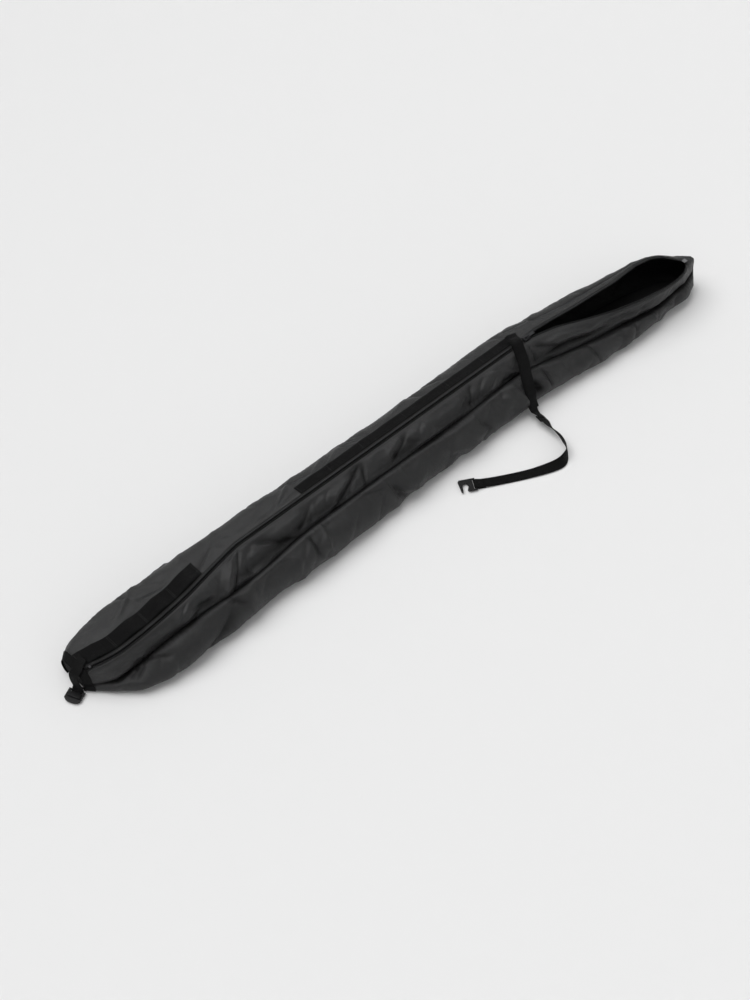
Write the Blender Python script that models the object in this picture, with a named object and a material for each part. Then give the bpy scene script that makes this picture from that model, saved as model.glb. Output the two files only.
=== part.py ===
"""Long ski bag lying on the floor, zip partly open at the nose. Metres, +Z up."""
import math

import bmesh
import bpy
import numpy as np

# shell
PANEL_THICK = 0.003
TAIL_X = -0.880
NOSE_X = 0.927
SEAM_GAP = 0.0006
BASE_THICK = 0.003
BASE_EDGE_GAP = 0.0028
BINDING_GAP = 0.0005
BINDING_THICK = 0.0016
BINDING_WIDTH = 0.014
NOSE_BIND_WIDTH = 0.005
SHAPE_STEP = 0.045
TAIL_INSET = 0.0045
BASE_END_X = 0.905
FLOOR_GAP = 0.0004
CAP_START = 0.0012
CAP_END = 0.0042
# stations kept as well as the regular ones, where the outline turns quickly
SHAPE_MARKS = (-0.862, -0.845, -0.83, -0.8, 0.43, 0.45, 0.587, 0.651, 0.719, 0.797, 0.84, 0.867, 0.885, 0.895,
               0.905, 0.916)
SHAPE_MARK_GAP = 0.004
# x, base near y, side near y, seam near y z, zip y z, seam far y z, side far y, base far y
SECTIONS = (
    (-0.880, 0.026, 0.014, 0.017, 0.018, 0.027, 0.042, 0.082, 0.038, 0.090, 0.074),
    (-0.862, 0.005, -0.007, 0.000, 0.022, 0.018, 0.060, 0.094, 0.050, 0.102, 0.080),
    (-0.830, -0.015, -0.040, -0.026, 0.030, 0.000, 0.079, 0.102, 0.062, 0.110, 0.082),
    (-0.800, -0.031, -0.069, -0.036, 0.042, -0.011, 0.090, 0.106, 0.069, 0.114, 0.082),
    (-0.762, -0.043, -0.085, -0.041, 0.054, -0.015, 0.098, 0.108, 0.074, 0.116, 0.083),
    (-0.700, -0.053, -0.094, -0.045, 0.067, -0.013, 0.102, 0.107, 0.075, 0.116, 0.082),
    (-0.620, -0.057, -0.094, -0.047, 0.074, -0.005, 0.105, 0.105, 0.078, 0.114, 0.080),
    (-0.520, -0.055, -0.091, -0.051, 0.077, 0.014, 0.106, 0.102, 0.080, 0.111, 0.078),
    (-0.450, -0.053, -0.089, -0.050, 0.078, 0.026, 0.105, 0.101, 0.080, 0.110, 0.077),
    (-0.330, -0.052, -0.087, -0.038, 0.080, 0.026, 0.105, 0.100, 0.080, 0.109, 0.076),
    (-0.150, -0.049, -0.082, -0.034, 0.080, 0.026, 0.105, 0.098, 0.079, 0.107, 0.074),
    (0.050, -0.047, -0.079, -0.034, 0.079, 0.026, 0.105, 0.096, 0.079, 0.105, 0.072),
    (0.180, -0.045, -0.077, -0.034, 0.079, 0.026, 0.105, 0.097, 0.079, 0.106, 0.073),
    (0.300, -0.043, -0.075, -0.029, 0.080, 0.026, 0.105, 0.099, 0.079, 0.109, 0.075),
    (0.370, -0.042, -0.074, -0.030, 0.079, 0.026, 0.105, 0.099, 0.078, 0.108, 0.074),
    (0.430, -0.044, -0.079, -0.038, 0.074, 0.026, 0.105, 0.096, 0.076, 0.105, 0.070),
    (0.500, -0.049, -0.086, -0.049, 0.066, 0.026, 0.103, 0.089, 0.073, 0.098, 0.064),
    (0.590, -0.055, -0.091, -0.063, 0.060, 0.020, 0.100, 0.078, 0.070, 0.087, 0.054),
    (0.670, -0.057, -0.093, -0.071, 0.056, 0.010, 0.098, 0.067, 0.068, 0.076, 0.044),
    (0.770, -0.055, -0.091, -0.082, 0.053, 0.000, 0.097, 0.052, 0.066, 0.061, 0.030),
    (0.840, -0.049, -0.087, -0.080, 0.052, -0.020, 0.096, 0.036, 0.065, 0.045, 0.014),
    (0.885, -0.045, -0.081, -0.074, 0.052, -0.045, 0.094, 0.011, 0.064, 0.020, -0.003),
    (0.912, -0.048, -0.072, -0.066, 0.054, -0.049, 0.091, -0.016, 0.062, -0.010, -0.025),
    (0.927, -0.050, -0.058, -0.057, 0.056, -0.049, 0.088, -0.039, 0.060, -0.037, -0.042),
)
# open mouth: x, near lip y, far lip y
LIPS = (
    (0.430, 0.0, 0.0), (0.450, 0.022, 0.030), (0.507, 0.009, 0.027), (0.587, -0.0235, 0.021),
    (0.651, -0.046, 0.018), (0.719, -0.063, 0.014), (0.797, -0.076, 0.017), (0.840, -0.077, 0.010),
    (0.867, -0.072, -0.006), (0.885, -0.063, -0.032), (0.895, -0.053, -0.046),
)

# zip
ZIP_Y = 0.026
ZIP_Z = 0.105
ZIP_STRAIGHT_X = -0.45
ZIP_OPEN_X = 0.430
TAPE_WIDTH = 0.012
TAPE_THICK = 0.001
TAPE_GAP = 0.0014
ROW_HALF_GAP = 0.0008
ROW_WIDTH = 0.0032
ROW_LOW = 0.0003
ROW_HIGH = 0.0029
SLIDER_LENGTH = 0.016
SLIDER_WIDTH = 0.0124
PULLER_LENGTH = 0.024
PULLER_WIDTH = 0.008
PULLER_THICK = 0.0014
PULLER_PIN = 0.0008
PULLER_SLOT_END = 0.0070
PULLER_SLOT_HALF = 0.0018
SLIDER_BACK = 0.012
SLIDER_WALL = 0.0013
SLIDER_OVERLAP = 0.0002
SLIDER_TOP = (0.0036, 0.0050)
SLIDER_BOTTOM = (-0.0030, -0.0017)
SLIDER_FLANGE_LOW = 0.0008
SLIDER_WEDGE = (0.003, 0.0005)
BRIDGE_INNER = 0.0034
BRIDGE_OUTER = 0.0048
BRIDGE_HALF = 0.001
BRIDGE_LOW = 0.0082
BRIDGE_TOP = 0.0094
PULLER_AXIS_HIGH = 0.0068
ROW_START_X = -0.853
ROW_END_X = 0.885
TAIL_STOP_X = -0.8575
TAIL_STOP_SIZE = (0.004, 0.006, 0.002)
TAIL_STOP_LIFT = 0.0024
LIP_STOP_X = (0.8872, 0.8902)
LIP_STOP_SIDE = 0.0022
LIP_STOP_HALF = 0.0016
LIP_STOP_Z = (0.0006, 0.0032)
NOSE_BIND_X = (-0.006, 0.001)
NOSE_BIND_Z = (0.004, 0.080)
END_TAB_X = (-0.004, 0.007)
END_TAB_HALF = 0.0048
END_TAB_Z = (0.0042, 0.0054)

# webbing
WEB_THICK = 0.0015
WEB_GAP = 0.0008
LADDER_WIDTH = 0.038
LADDER_START_X = -0.862
LADDER_END_X = -0.556
LADDER_SLACK = 0.004
LADDER_TACKS = (-0.862, -0.795, -0.715, -0.635, -0.558)
MID_WIDTH = 0.025
MID_START_X = -0.235
MID_END_X = 0.402
STRAP_WIDTH = 0.025
HOOK_WIDTH = 0.034
HOOK_THICK = 0.003
HOOK_SLOT = 0.0040
# away from the webbing bar, then toward the near side
HOOK_OUTLINE = ((0.018, 0.017), (0.021, 0.0135), (0.0165, 0.0035), (0.0175, -0.0035), (0.0225, -0.0065),
                (0.0285, -0.0035), (0.0305, 0.0035), (0.0318, 0.017), (0.0330, 0.018), (0.0358, 0.017),
                (0.038, -0.013), (0.035, -0.017))
BUCKLE_LENGTH = 0.030
BUCKLE_WIDTH = 0.037
BUCKLE_THICK = 0.003
BUCKLE_SLOTS = ((0.0015, 0.0075), (0.0105, 0.0165))
BUCKLE_CORNERS = ((0.007, 0.0), (0.002, 0.006), (0.0, 0.0125))
SLOT_SIDE_GAP = 0.001
SLOT_REACH = 0.01
ADJUSTER_BAR = 0.0024
ADJUSTER_ARM = 0.0032
STRAP_TIP = ((0.008, 0.0012), (0.022, 0.0009))
NECK_TIP = ((0.004, -0.0020), (0.0065, -0.0018))

HOOK_LOOP = 0.0030
STRAP_START = ((0.400, 0.056, 0.1102), (0.396, 0.044, 0.1112), (0.391, 0.032, 0.1182), (0.386, 0.019, 0.1182))
# x, distance down the near side from the zip, height of the webbing middle over the fabric
STRAP_DRAPE = ((0.380, 0.022, 0.0050), (0.374, 0.038, 0.0034), (0.366, 0.056, 0.0034), (0.358, 0.074, 0.0040),
               (0.350, 0.094, 0.0030), (0.345, 0.112, 0.0030), (0.342, 0.128, 0.0034))
STRAP_LAND = ((0.3408, -0.0920, 0.0180), (0.3404, -0.1030, 0.0150))
STRAP_HEADING = (-110.0, -97.0)
ADJUSTER_AT = (0.3390, -0.1200, 0.0125)
ADJUSTER_TILT = math.radians(36.0)
ADJUSTER_ANGLE = math.radians(-97.0)
ADJUSTER_LENGTH = 0.0186
ADJUSTER_WIDTH = 0.033
ADJUSTER_WEAVE = ((-0.0105, 0.0024), (-0.0070, 0.0024), (-0.0056, 0.0022), (-0.0024, -0.0022), (0.0, -0.0025),
                  (0.0024, -0.0022), (0.0056, 0.0022), (0.0070, 0.0024), (0.0105, 0.0022))
STRAP_LOWER = (
    (0.3355, -0.1440, 0.0130), (0.3345, -0.1610, 0.0130), (0.3310, -0.1860, 0.0135), (0.3190, -0.2160, 0.0140),
    (0.2980, -0.2330, 0.0115), (0.2700, -0.2340, 0.0070), (0.2090, -0.2080, 0.0019), (0.1430, -0.1740, 0.0019),
    (0.1080, -0.1545, 0.0040),
)
STRAP_TILT = ((0.0, 0.63), (0.18, 0.95), (0.36, 1.4), (0.50, 1.35), (0.64, 0.55), (0.76, 0.0), (1.0, 0.0))
HOOK_BAR = (0.0950, -0.1470, 0.0047)
HOOK_ANGLE = math.radians(150.5)
BUCKLE_BAR = (-0.8935, 0.0230, 0.0046)
NECK_LIFTS = ((-0.856, 0.024, 0.0105), (-0.868, 0.016, 0.0085), (-0.878, 0.009, 0.0085))
BUCKLE_ANGLE = math.radians(205.0)

# keeps the middle of the outline over the origin
FRAME_SHIFT = np.array((-0.0019, -0.0102, 0.0))

COLOURS = {
    "shell_fabric": (0.030, 0.030, 0.032, 0.55),
    "zip_tape": (0.012, 0.012, 0.013, 0.75),
    "zip_coil": (0.010, 0.010, 0.011, 0.40),
    "metal_black": (0.030, 0.030, 0.032, 0.35),
    "webbing": (0.014, 0.014, 0.015, 0.70),
    "plastic_black": (0.016, 0.016, 0.018, 0.45),
    "tab_grey": (0.55, 0.55, 0.56, 0.60),
}


def clear_scene():
    for item in list(bpy.data.objects):
        bpy.data.objects.remove(item, do_unlink=True)


def material(name):
    found = bpy.data.materials.get(name)
    if found:
        return found
    made = bpy.data.materials.new(name)
    made.use_nodes = True
    shader = made.node_tree.nodes["Principled BSDF"]
    red, green, blue, rough = COLOURS[name]
    shader.inputs["Base Color"].default_value = (red, green, blue, 1.0)
    shader.inputs["Roughness"].default_value = rough
    if name == "metal_black":
        shader.inputs["Metallic"].default_value = 1.0
    return made


def add_object(name, points, faces, slot, origin=None):
    """One closed body with its faces turned outward."""
    centre = np.zeros(3) if origin is None else np.asarray(origin, float) + FRAME_SHIFT
    mesh = bpy.data.meshes.new(name)
    moved = np.asarray(points, float) + FRAME_SHIFT - centre
    mesh.from_pydata(moved.tolist(), [], faces)
    work = bmesh.new()
    work.from_mesh(mesh)
    bmesh.ops.recalc_face_normals(work, faces=work.faces)
    work.to_mesh(mesh)
    work.free()
    mesh.materials.append(material(slot))
    item = bpy.data.objects.new(name, mesh)
    item.location = centre.tolist()
    bpy.context.scene.collection.objects.link(item)
    return item


def slab(name, upper, lower, slot):
    """Solid between two matching grids of points."""
    rows, cols = upper.shape[:2]
    points = np.concatenate([upper.reshape(-1, 3), lower.reshape(-1, 3)])
    count = rows * cols
    faces = []
    for i in range(rows - 1):
        for j in range(cols - 1):
            a, b = i * cols + j, i * cols + j + 1
            c, d = (i + 1) * cols + j + 1, (i + 1) * cols + j
            faces.append((a, b, c, d))
            faces.append((count + d, count + c, count + b, count + a))
    rim = [j for j in range(cols)]
    rim += [i * cols + cols - 1 for i in range(1, rows)]
    rim += [(rows - 1) * cols + j for j in range(cols - 2, -1, -1)]
    rim += [i * cols for i in range(rows - 2, 0, -1)]
    for k, a in enumerate(rim):
        b = rim[(k + 1) % len(rim)]
        faces.append((a, b, count + b, count + a))
    return add_object(name, points, faces, slot)


def prism(name, outline, low, high, slot, origin=None, place=None):
    """Outline in the XY plane pushed from low to high, then placed."""
    outline = np.asarray(outline, float)
    count = len(outline)
    points = np.zeros((2 * count, 3))
    points[:count, :2] = outline
    points[:count, 2] = low
    points[count:, :2] = outline
    points[count:, 2] = high
    faces = [tuple(range(count))[::-1], tuple(range(count, 2 * count))]
    faces += [(k, (k + 1) % count, count + (k + 1) % count, count + k) for k in range(count)]
    if place is not None:
        points = place(points)
    return add_object(name, points, faces, slot, origin)


def box(name, low, high, slot, origin=None, place=None):
    outline = ((low[0], low[1]), (high[0], low[1]), (high[0], high[1]), (low[0], high[1]))
    return prism(name, outline, low[2], high[2], slot, origin, place)


def boolean(item, others, operation):
    for other in others:
        change = item.modifiers.new(operation.lower(), "BOOLEAN")
        change.operation = operation
        change.solver = "EXACT"
        change.object = other
        bpy.context.view_layer.update()
        graph = bpy.context.evaluated_depsgraph_get()
        result = bpy.data.meshes.new_from_object(item.evaluated_get(graph))
        item.modifiers.clear()
        old = item.data
        item.data = result
        bpy.data.meshes.remove(old)
        bpy.data.objects.remove(other, do_unlink=True)
    item.data.name = item.name


def hermite(table, column, x):
    """Smooth curve through one column of a table of stations."""
    xs = np.array([row[0] for row in table])
    ys = np.array([row[column] for row in table])
    slope = np.gradient(ys, xs)
    x = np.clip(x, xs[0], xs[-1])
    k = np.clip(np.searchsorted(xs, x, side="right") - 1, 0, len(xs) - 2)
    step = xs[k + 1] - xs[k]
    t = (x - xs[k]) / step
    part = (2 * t**3 - 3 * t**2 + 1) * ys[k] + (t**3 - 2 * t**2 + t) * step * slope[k]
    return part + (3 * t**2 - 2 * t**3) * ys[k + 1] + (t**3 - t**2) * step * slope[k + 1]


def bezier(ends, steps):
    t = np.linspace(0, 1, steps)[:, None]
    a, b, c, d = (np.array(point) for point in ends)
    return a * (1 - t)**3 + 3 * b * t * (1 - t)**2 + 3 * c * t**2 * (1 - t) + d * t**3


def lip(x, side):
    """Inner edge of one zip tape: side -1 near, +1 far."""
    middle = ZIP_Y if ZIP_STRAIGHT_X <= x <= ZIP_OPEN_X else hermite(SECTIONS, 5, x)
    height = ZIP_Z if ZIP_STRAIGHT_X <= x <= ZIP_OPEN_X else hermite(SECTIONS, 6, x)
    if x <= ZIP_OPEN_X:
        return middle + side * ROW_HALF_GAP, height
    last = LIPS[-1]
    if x >= last[0]:
        return (last[1] + last[2]) / 2 + side * 0.0035, height
    y = np.interp(x, [row[0] for row in LIPS[1:]], [row[2 if side > 0 else 1] for row in LIPS[1:]])
    if x < LIPS[1][0]:
        blend = (x - ZIP_OPEN_X) / (LIPS[1][0] - ZIP_OPEN_X)
        y = (1 - blend) * (ZIP_Y + side * ROW_HALF_GAP) + blend * y
    return float(y), height


def near_curve(x, steps=40):
    """Near upper fabric from the seam to the zip."""
    seam = (hermite(SECTIONS, 3, x), hermite(SECTIONS, 4, x))
    edge = lip(x, -1)
    rise = edge[1] - seam[1]
    run = edge[0] - seam[0]
    return bezier((seam, (seam[0] + 0.18 * run, seam[1] + 0.62 * rise),
                   (edge[0] - 0.4 * run, edge[1]), edge), steps)


def far_curve(x, steps=48):
    """Far upper fabric from the zip to the far seam."""
    seam = (hermite(SECTIONS, 7, x), hermite(SECTIONS, 8, x))
    edge = lip(x, 1)
    run = seam[0] - edge[0]
    drop = edge[1] - seam[1]
    return bezier((edge, (edge[0] + 0.5 * run, edge[1] + 0.001), (seam[0] - 0.05 * run,
                   seam[1] + 0.9 * drop), seam), steps)


def side_curve(x, side, steps=30):
    """Side panel from the floor up to its seam."""
    base = (hermite(SECTIONS, 1 if side < 0 else 10, x), FLOOR_GAP)
    bulge = hermite(SECTIONS, 2 if side < 0 else 9, x)
    seam = (hermite(SECTIONS, 3 if side < 0 else 7, x), hermite(SECTIONS, 4 if side < 0 else 8, x))
    reach = side * abs(bulge - base[0]) * (0.45 if side < 0 else 0.25)
    return bezier((base, (bulge + reach, 0.05 * seam[1]), (bulge + reach * 0.8, 0.75 * seam[1]), seam), steps)


def by_length(curve, first, last, count):
    """Points of a plane curve between two arc lengths; last may be measured from the end (negative)."""
    step = np.linalg.norm(np.diff(curve, axis=0), axis=1)
    travel = np.concatenate([[0], np.cumsum(step)])
    total = travel[-1]
    first = total + first if first < 0 else first
    last = total + last if last <= 0 else last
    want = np.linspace(first, last, count)
    return np.stack([np.interp(want, travel, curve[:, 0]), np.interp(want, travel, curve[:, 1])], 1)


def grid_from(curves, xs):
    return np.array([[(x, point[0], point[1]) for point in curve] for x, curve in zip(xs, curves)])


def grid_normals(grid):
    along = np.gradient(grid, axis=0)
    across = np.gradient(grid, axis=1)
    normal = np.cross(along, across)
    return normal / np.linalg.norm(normal, axis=2, keepdims=True)


def stations(first, last, step=SHAPE_STEP):
    marks = [first, last, *SHAPE_MARKS, *np.arange(-0.762, 0.86, step)]
    kept = sorted(set(round(float(mark), 4) for mark in marks if first <= mark <= last))
    return [mark for k, mark in enumerate(kept) if k == 0 or mark - kept[k - 1] > SHAPE_MARK_GAP]


def add_shell():
    xs = stations(TAIL_X + TAIL_INSET, NOSE_X)
    near_side = grid_from([side_curve(x, -1, 9) for x in xs], xs)
    out = oriented(near_side, 1, -1)
    near_side[:, -1, 2] -= SEAM_GAP
    slab("gusset_near", near_side, near_side - PANEL_THICK * out, "shell_fabric")
    far_side = grid_from([side_curve(x, 1, 9) for x in xs], xs)
    out = oriented(far_side, 1, 1)
    far_side[:, -1, 2] -= SEAM_GAP
    slab("gusset_far", far_side, far_side - PANEL_THICK * out, "shell_fabric")

    tape_room = TAPE_WIDTH + TAPE_GAP
    near_top = grid_from([by_length(near_curve(x), SEAM_GAP, -tape_room, 7) for x in xs], xs)
    out = oriented(near_top, 2, 1)
    slab("panel_top_near", near_top, near_top - PANEL_THICK * out, "shell_fabric")
    far_top = grid_from([by_length(far_curve(x), tape_room, -SEAM_GAP, 8) for x in xs], xs)
    out = oriented(far_top, 2, 1)
    slab("panel_top_far", far_top, far_top - PANEL_THICK * out, "shell_fabric")

    xs = stations(TAIL_X + TAIL_INSET, BASE_END_X)
    left = [hermite(SECTIONS, 1, x) + BASE_EDGE_GAP for x in xs]
    right = [hermite(SECTIONS, 10, x) - BASE_EDGE_GAP for x in xs]
    outline = list(zip(xs, left)) + list(zip(xs[::-1], right[::-1]))
    prism("panel_base", outline, 0.0, BASE_THICK, "shell_fabric")


def add_zip_tapes():
    xs = stations(TAIL_X + TAIL_INSET, BASE_END_X)
    for name, curve_at, first, last in (("zip_tape_near", near_curve, -TAPE_WIDTH, 0.0),
                                        ("zip_tape_far", far_curve, 0.0, TAPE_WIDTH)):
        grid = grid_from([by_length(curve_at(x), first, last, 3) for x in xs], xs)
        out = oriented(grid, 2, 1)
        slab(name, grid, grid - TAPE_THICK * out, "zip_tape")


def add_zip_rows():
    xs = stations(ROW_START_X, ROW_END_X)
    for name, side in (("zip_row_near", -1), ("zip_row_far", 1)):
        curve_at = near_curve if side < 0 else far_curve
        first, last = (-ROW_WIDTH, 0.0) if side < 0 else (0.0, ROW_WIDTH)
        grid = grid_from([by_length(curve_at(x, 200), first, last, 2) for x in xs], xs)
        out = oriented(grid, 2, 1)
        slab(name, grid + ROW_HIGH * out, grid + ROW_LOW * out, "zip_coil")


def oriented(grid, axis, sign):
    """Grid normals, turned so the middle one points along sign times the axis."""
    normal = grid_normals(grid)
    middle = normal[grid.shape[0] // 2, grid.shape[1] // 2, axis]
    return normal if middle * sign > 0 else -normal


def add_tail_end():
    """Cap across the tail and the binding round it."""
    x = TAIL_X
    ring = np.concatenate([side_curve(x, -1, 6)[:-1], near_curve(x, 7)[:-1], far_curve(x, 8)[:-1],
                           side_curve(x, 1, 6)[::-1]])
    cap = [(y, max(z, FLOOR_GAP)) for y, z in ring]

    def stand(points):
        return np.stack([points[:, 2], points[:, 0], points[:, 1]], 1)

    prism("tail_end_panel", cap, x + CAP_START, x + CAP_END, "shell_fabric", None, stand)

    xs = [x - CAP_START, x + SHAPE_MARK_GAP, x + BINDING_WIDTH]
    grid = grid_from([np.concatenate([side_curve(px, -1, 11)[2:-1], near_curve(px, 8)[:-1], far_curve(px, 9)[:-1],
                                      side_curve(px, 1, 11)[:1:-1]]) for px in xs], xs)
    out = oriented(grid, 2, 1)
    slab("tail_binding", grid + (BINDING_GAP + BINDING_THICK) * out, grid + BINDING_GAP * out, "webbing")


def add_nose():
    """Binding strip standing between the two side panels, and the tab over the zip end."""
    middle = (hermite(SECTIONS, 2, NOSE_X) + hermite(SECTIONS, 9, NOSE_X)) / 2
    half = NOSE_BIND_WIDTH / 2
    box("nose_binding", (NOSE_X + NOSE_BIND_X[0], middle - half, NOSE_BIND_Z[0]),
        (NOSE_X + NOSE_BIND_X[1], middle + half, NOSE_BIND_Z[1]), "webbing")
    x = LIPS[-1][0]
    z = lip(x + SLIDER_OVERLAP, 1)[1]
    middle = (LIPS[-1][1] + LIPS[-1][2]) / 2
    box("zip_end_tab", (x + END_TAB_X[0], middle - END_TAB_HALF, z + END_TAB_Z[0]),
        (x + END_TAB_X[1], middle + END_TAB_HALF, z + END_TAB_Z[1]), "tab_grey")


def add_zip_stops():
    length, width, height = TAIL_STOP_SIZE
    x, y = TAIL_STOP_X, hermite(SECTIONS, 5, TAIL_STOP_X)
    z = hermite(SECTIONS, 6, x) + TAIL_STOP_LIFT
    box("zip_stop_tail", (x - length / 2, y - width / 2, z), (x + length / 2, y + width / 2, z + height),
        "metal_black")
    for name, side in (("zip_stop_near", -1), ("zip_stop_far", 1)):
        y, z = lip(sum(LIP_STOP_X) / 2, side)
        y += side * LIP_STOP_SIDE
        box(name, (LIP_STOP_X[0], y - LIP_STOP_HALF, z + LIP_STOP_Z[0]),
            (LIP_STOP_X[1], y + LIP_STOP_HALF, z + LIP_STOP_Z[1]), "metal_black")


def add_slider():
    """Two plates joined by a thin wedge at the open end, with a bridge for the puller."""
    half = SLIDER_WIDTH / 2
    start = ZIP_OPEN_X - SLIDER_BACK
    end = start + SLIDER_LENGTH
    top_low, top_high = ZIP_Z + SLIDER_TOP[0], ZIP_Z + SLIDER_TOP[1]
    low_low, low_high = ZIP_Z + SLIDER_BOTTOM[0], ZIP_Z + SLIDER_BOTTOM[1]
    flange, joined = ZIP_Z + SLIDER_FLANGE_LOW, top_low + SLIDER_OVERLAP
    middle = (start + end) / 2
    axis = (middle, ZIP_Y, ZIP_Z + PULLER_AXIS_HIGH)
    post_low, post_high = top_high - SLIDER_OVERLAP, ZIP_Z + BRIDGE_TOP
    span = BRIDGE_INNER + SLIDER_OVERLAP
    wedge, wedge_half = SLIDER_WEDGE

    def part(name, low, high):
        return box(name, (low[0], ZIP_Y + low[1], low[2]), (high[0], ZIP_Y + high[1], high[2]),
                   "metal_black", axis)

    body = part("zip_slider", (start, -half, top_low), (end, half, top_high))
    pieces = [
        part("lower_plate", (start, -half, low_low), (end, half, low_high)),
        part("wedge", (end - wedge, -wedge_half, low_high - SLIDER_OVERLAP), (end, wedge_half, joined)),
        part("flange_near", (start, -half, flange), (end, -half + SLIDER_WALL, joined)),
        part("flange_far", (start, half - SLIDER_WALL, flange), (end, half, joined)),
        part("post_tail", (middle - BRIDGE_OUTER, -BRIDGE_HALF, post_low),
             (middle - BRIDGE_INNER, BRIDGE_HALF, post_high)),
        part("post_nose", (middle + BRIDGE_INNER, -BRIDGE_HALF, post_low),
             (middle + BRIDGE_OUTER, BRIDGE_HALF, post_high)),
        part("bridge", (middle - span, -BRIDGE_HALF, ZIP_Z + BRIDGE_LOW), (middle + span, BRIDGE_HALF, post_high)),
    ]
    boolean(body, pieces, "UNION")
    return axis


def add_puller(axis):
    half = PULLER_WIDTH / 2
    low, high = axis[2] - PULLER_THICK / 2, axis[2] + PULLER_THICK / 2
    body = box("zip_puller", (axis[0] - PULLER_PIN, axis[1] - half, low),
               (axis[0] + PULLER_LENGTH, axis[1] + half, high), "metal_black", axis)
    slot = box("puller_slot", (axis[0] + PULLER_PIN, axis[1] - PULLER_SLOT_HALF, low - PULLER_THICK),
               (axis[0] + PULLER_SLOT_END, axis[1] + PULLER_SLOT_HALF, high + PULLER_THICK), "metal_black", axis)
    boolean(body, [slot], "DIFFERENCE")


def add_far_strip(name, first_x, last_x, start, width, low, high, slot, step=SHAPE_STEP, bump=None):
    """Webbing lying on the far upper panel, start measured from the zip."""
    xs = stations(first_x, last_x, step)
    grid = grid_from([by_length(far_curve(x), start, start + width, 4) for x in xs], xs)
    out = oriented(grid, 2, 1)
    extra = np.array([bump(x) if bump else 0.0 for x in xs])[:, None, None]
    return slab(name, grid + (high + extra) * out, grid + (low + extra) * out, slot)


def loop_slack(x):
    """Height of the outer ladder webbing between two neighbouring tacks."""
    for first, last in zip(LADDER_TACKS, LADDER_TACKS[1:]):
        if first <= x <= last:
            return LADDER_SLACK * math.sin(math.pi * (x - first) / (last - first))**2
    return 0.0


def add_webbing():
    start = TAPE_WIDTH + 0.002
    first = WEB_GAP + WEB_THICK
    add_far_strip("ladder_webbing_base", LADDER_START_X, LADDER_END_X, start, LADDER_WIDTH, WEB_GAP, first,
                  "webbing")
    add_far_strip("ladder_webbing_loops", LADDER_START_X, LADDER_END_X, start, LADDER_WIDTH,
                  first + WEB_GAP, first + WEB_GAP + WEB_THICK, "webbing", SHAPE_STEP / 3, loop_slack)
    add_far_strip("mid_webbing", MID_START_X, MID_END_X, start, MID_WIDTH, WEB_GAP, first, "webbing")


def spline(points, per_span):
    """Smooth curve through the points, evenly many samples in each span."""
    points = np.asarray(points, float)
    padded = np.concatenate([2 * points[:1] - points[1:2], points, 2 * points[-1:] - points[-2:-1]])
    made = []
    for k in range(1, len(padded) - 2):
        a, b, c, d = padded[k - 1:k + 3]
        for t in np.linspace(0, 1, per_span, endpoint=False):
            made.append(0.5 * (2 * b + (c - a) * t + (2 * a - 5 * b + 4 * c - d) * t**2
                               + (3 * b - a - 3 * c + d) * t**3))
    made.append(padded[-2])
    return np.array(made)


def ribbon(name, path, across, width, thick, slot):
    """Flat webbing along a path; across is the width direction at each point."""
    path, across = np.asarray(path, float), np.asarray(across, float)
    along = np.gradient(path, axis=0)
    along /= np.linalg.norm(along, axis=1, keepdims=True)
    across = across - (across * along).sum(axis=1, keepdims=True) * along
    across /= np.linalg.norm(across, axis=1, keepdims=True)
    up = np.cross(along, across)
    edge = across * width / 2
    upper = np.stack([path - edge + up * thick / 2, path + edge + up * thick / 2], 1)
    lower = np.stack([path - edge - up * thick / 2, path + edge - up * thick / 2], 1)
    return slab(name, upper, lower, slot)


def turned(points, angle, middle, roll=0.0):
    """Roll points about their X axis, turn them about +Z, then move them to the middle."""
    cosine, sine = math.cos(angle), math.sin(angle)
    points = np.array(points, float)
    y, z = points[:, 1].copy(), points[:, 2].copy()
    points[:, 1] = math.cos(roll) * y - math.sin(roll) * z
    points[:, 2] = math.sin(roll) * y + math.cos(roll) * z
    made = points.copy()
    made[:, 0] = cosine * points[:, 0] - sine * points[:, 1] + middle[0]
    made[:, 1] = sine * points[:, 0] + cosine * points[:, 1] + middle[1]
    made[:, 2] = points[:, 2] + middle[2]
    return made


def frame_axes(angle):
    return np.array((math.cos(angle), math.sin(angle), 0.0)), np.array((-math.sin(angle), math.cos(angle), 0.0))


def drape_point(x, distance, lift):
    """Point over the near side, measured down from the zip."""
    curve = np.concatenate([near_curve(x)[::-1], side_curve(x, -1)[::-1][1:]])
    pair = by_length(curve, distance - 0.001, distance + 0.001, 2)
    y, z = pair.mean(axis=0)
    dy, dz = pair[1] - pair[0]
    size = math.hypot(dy, dz)
    return x, y + lift * dz / size, z - lift * dy / size


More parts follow.
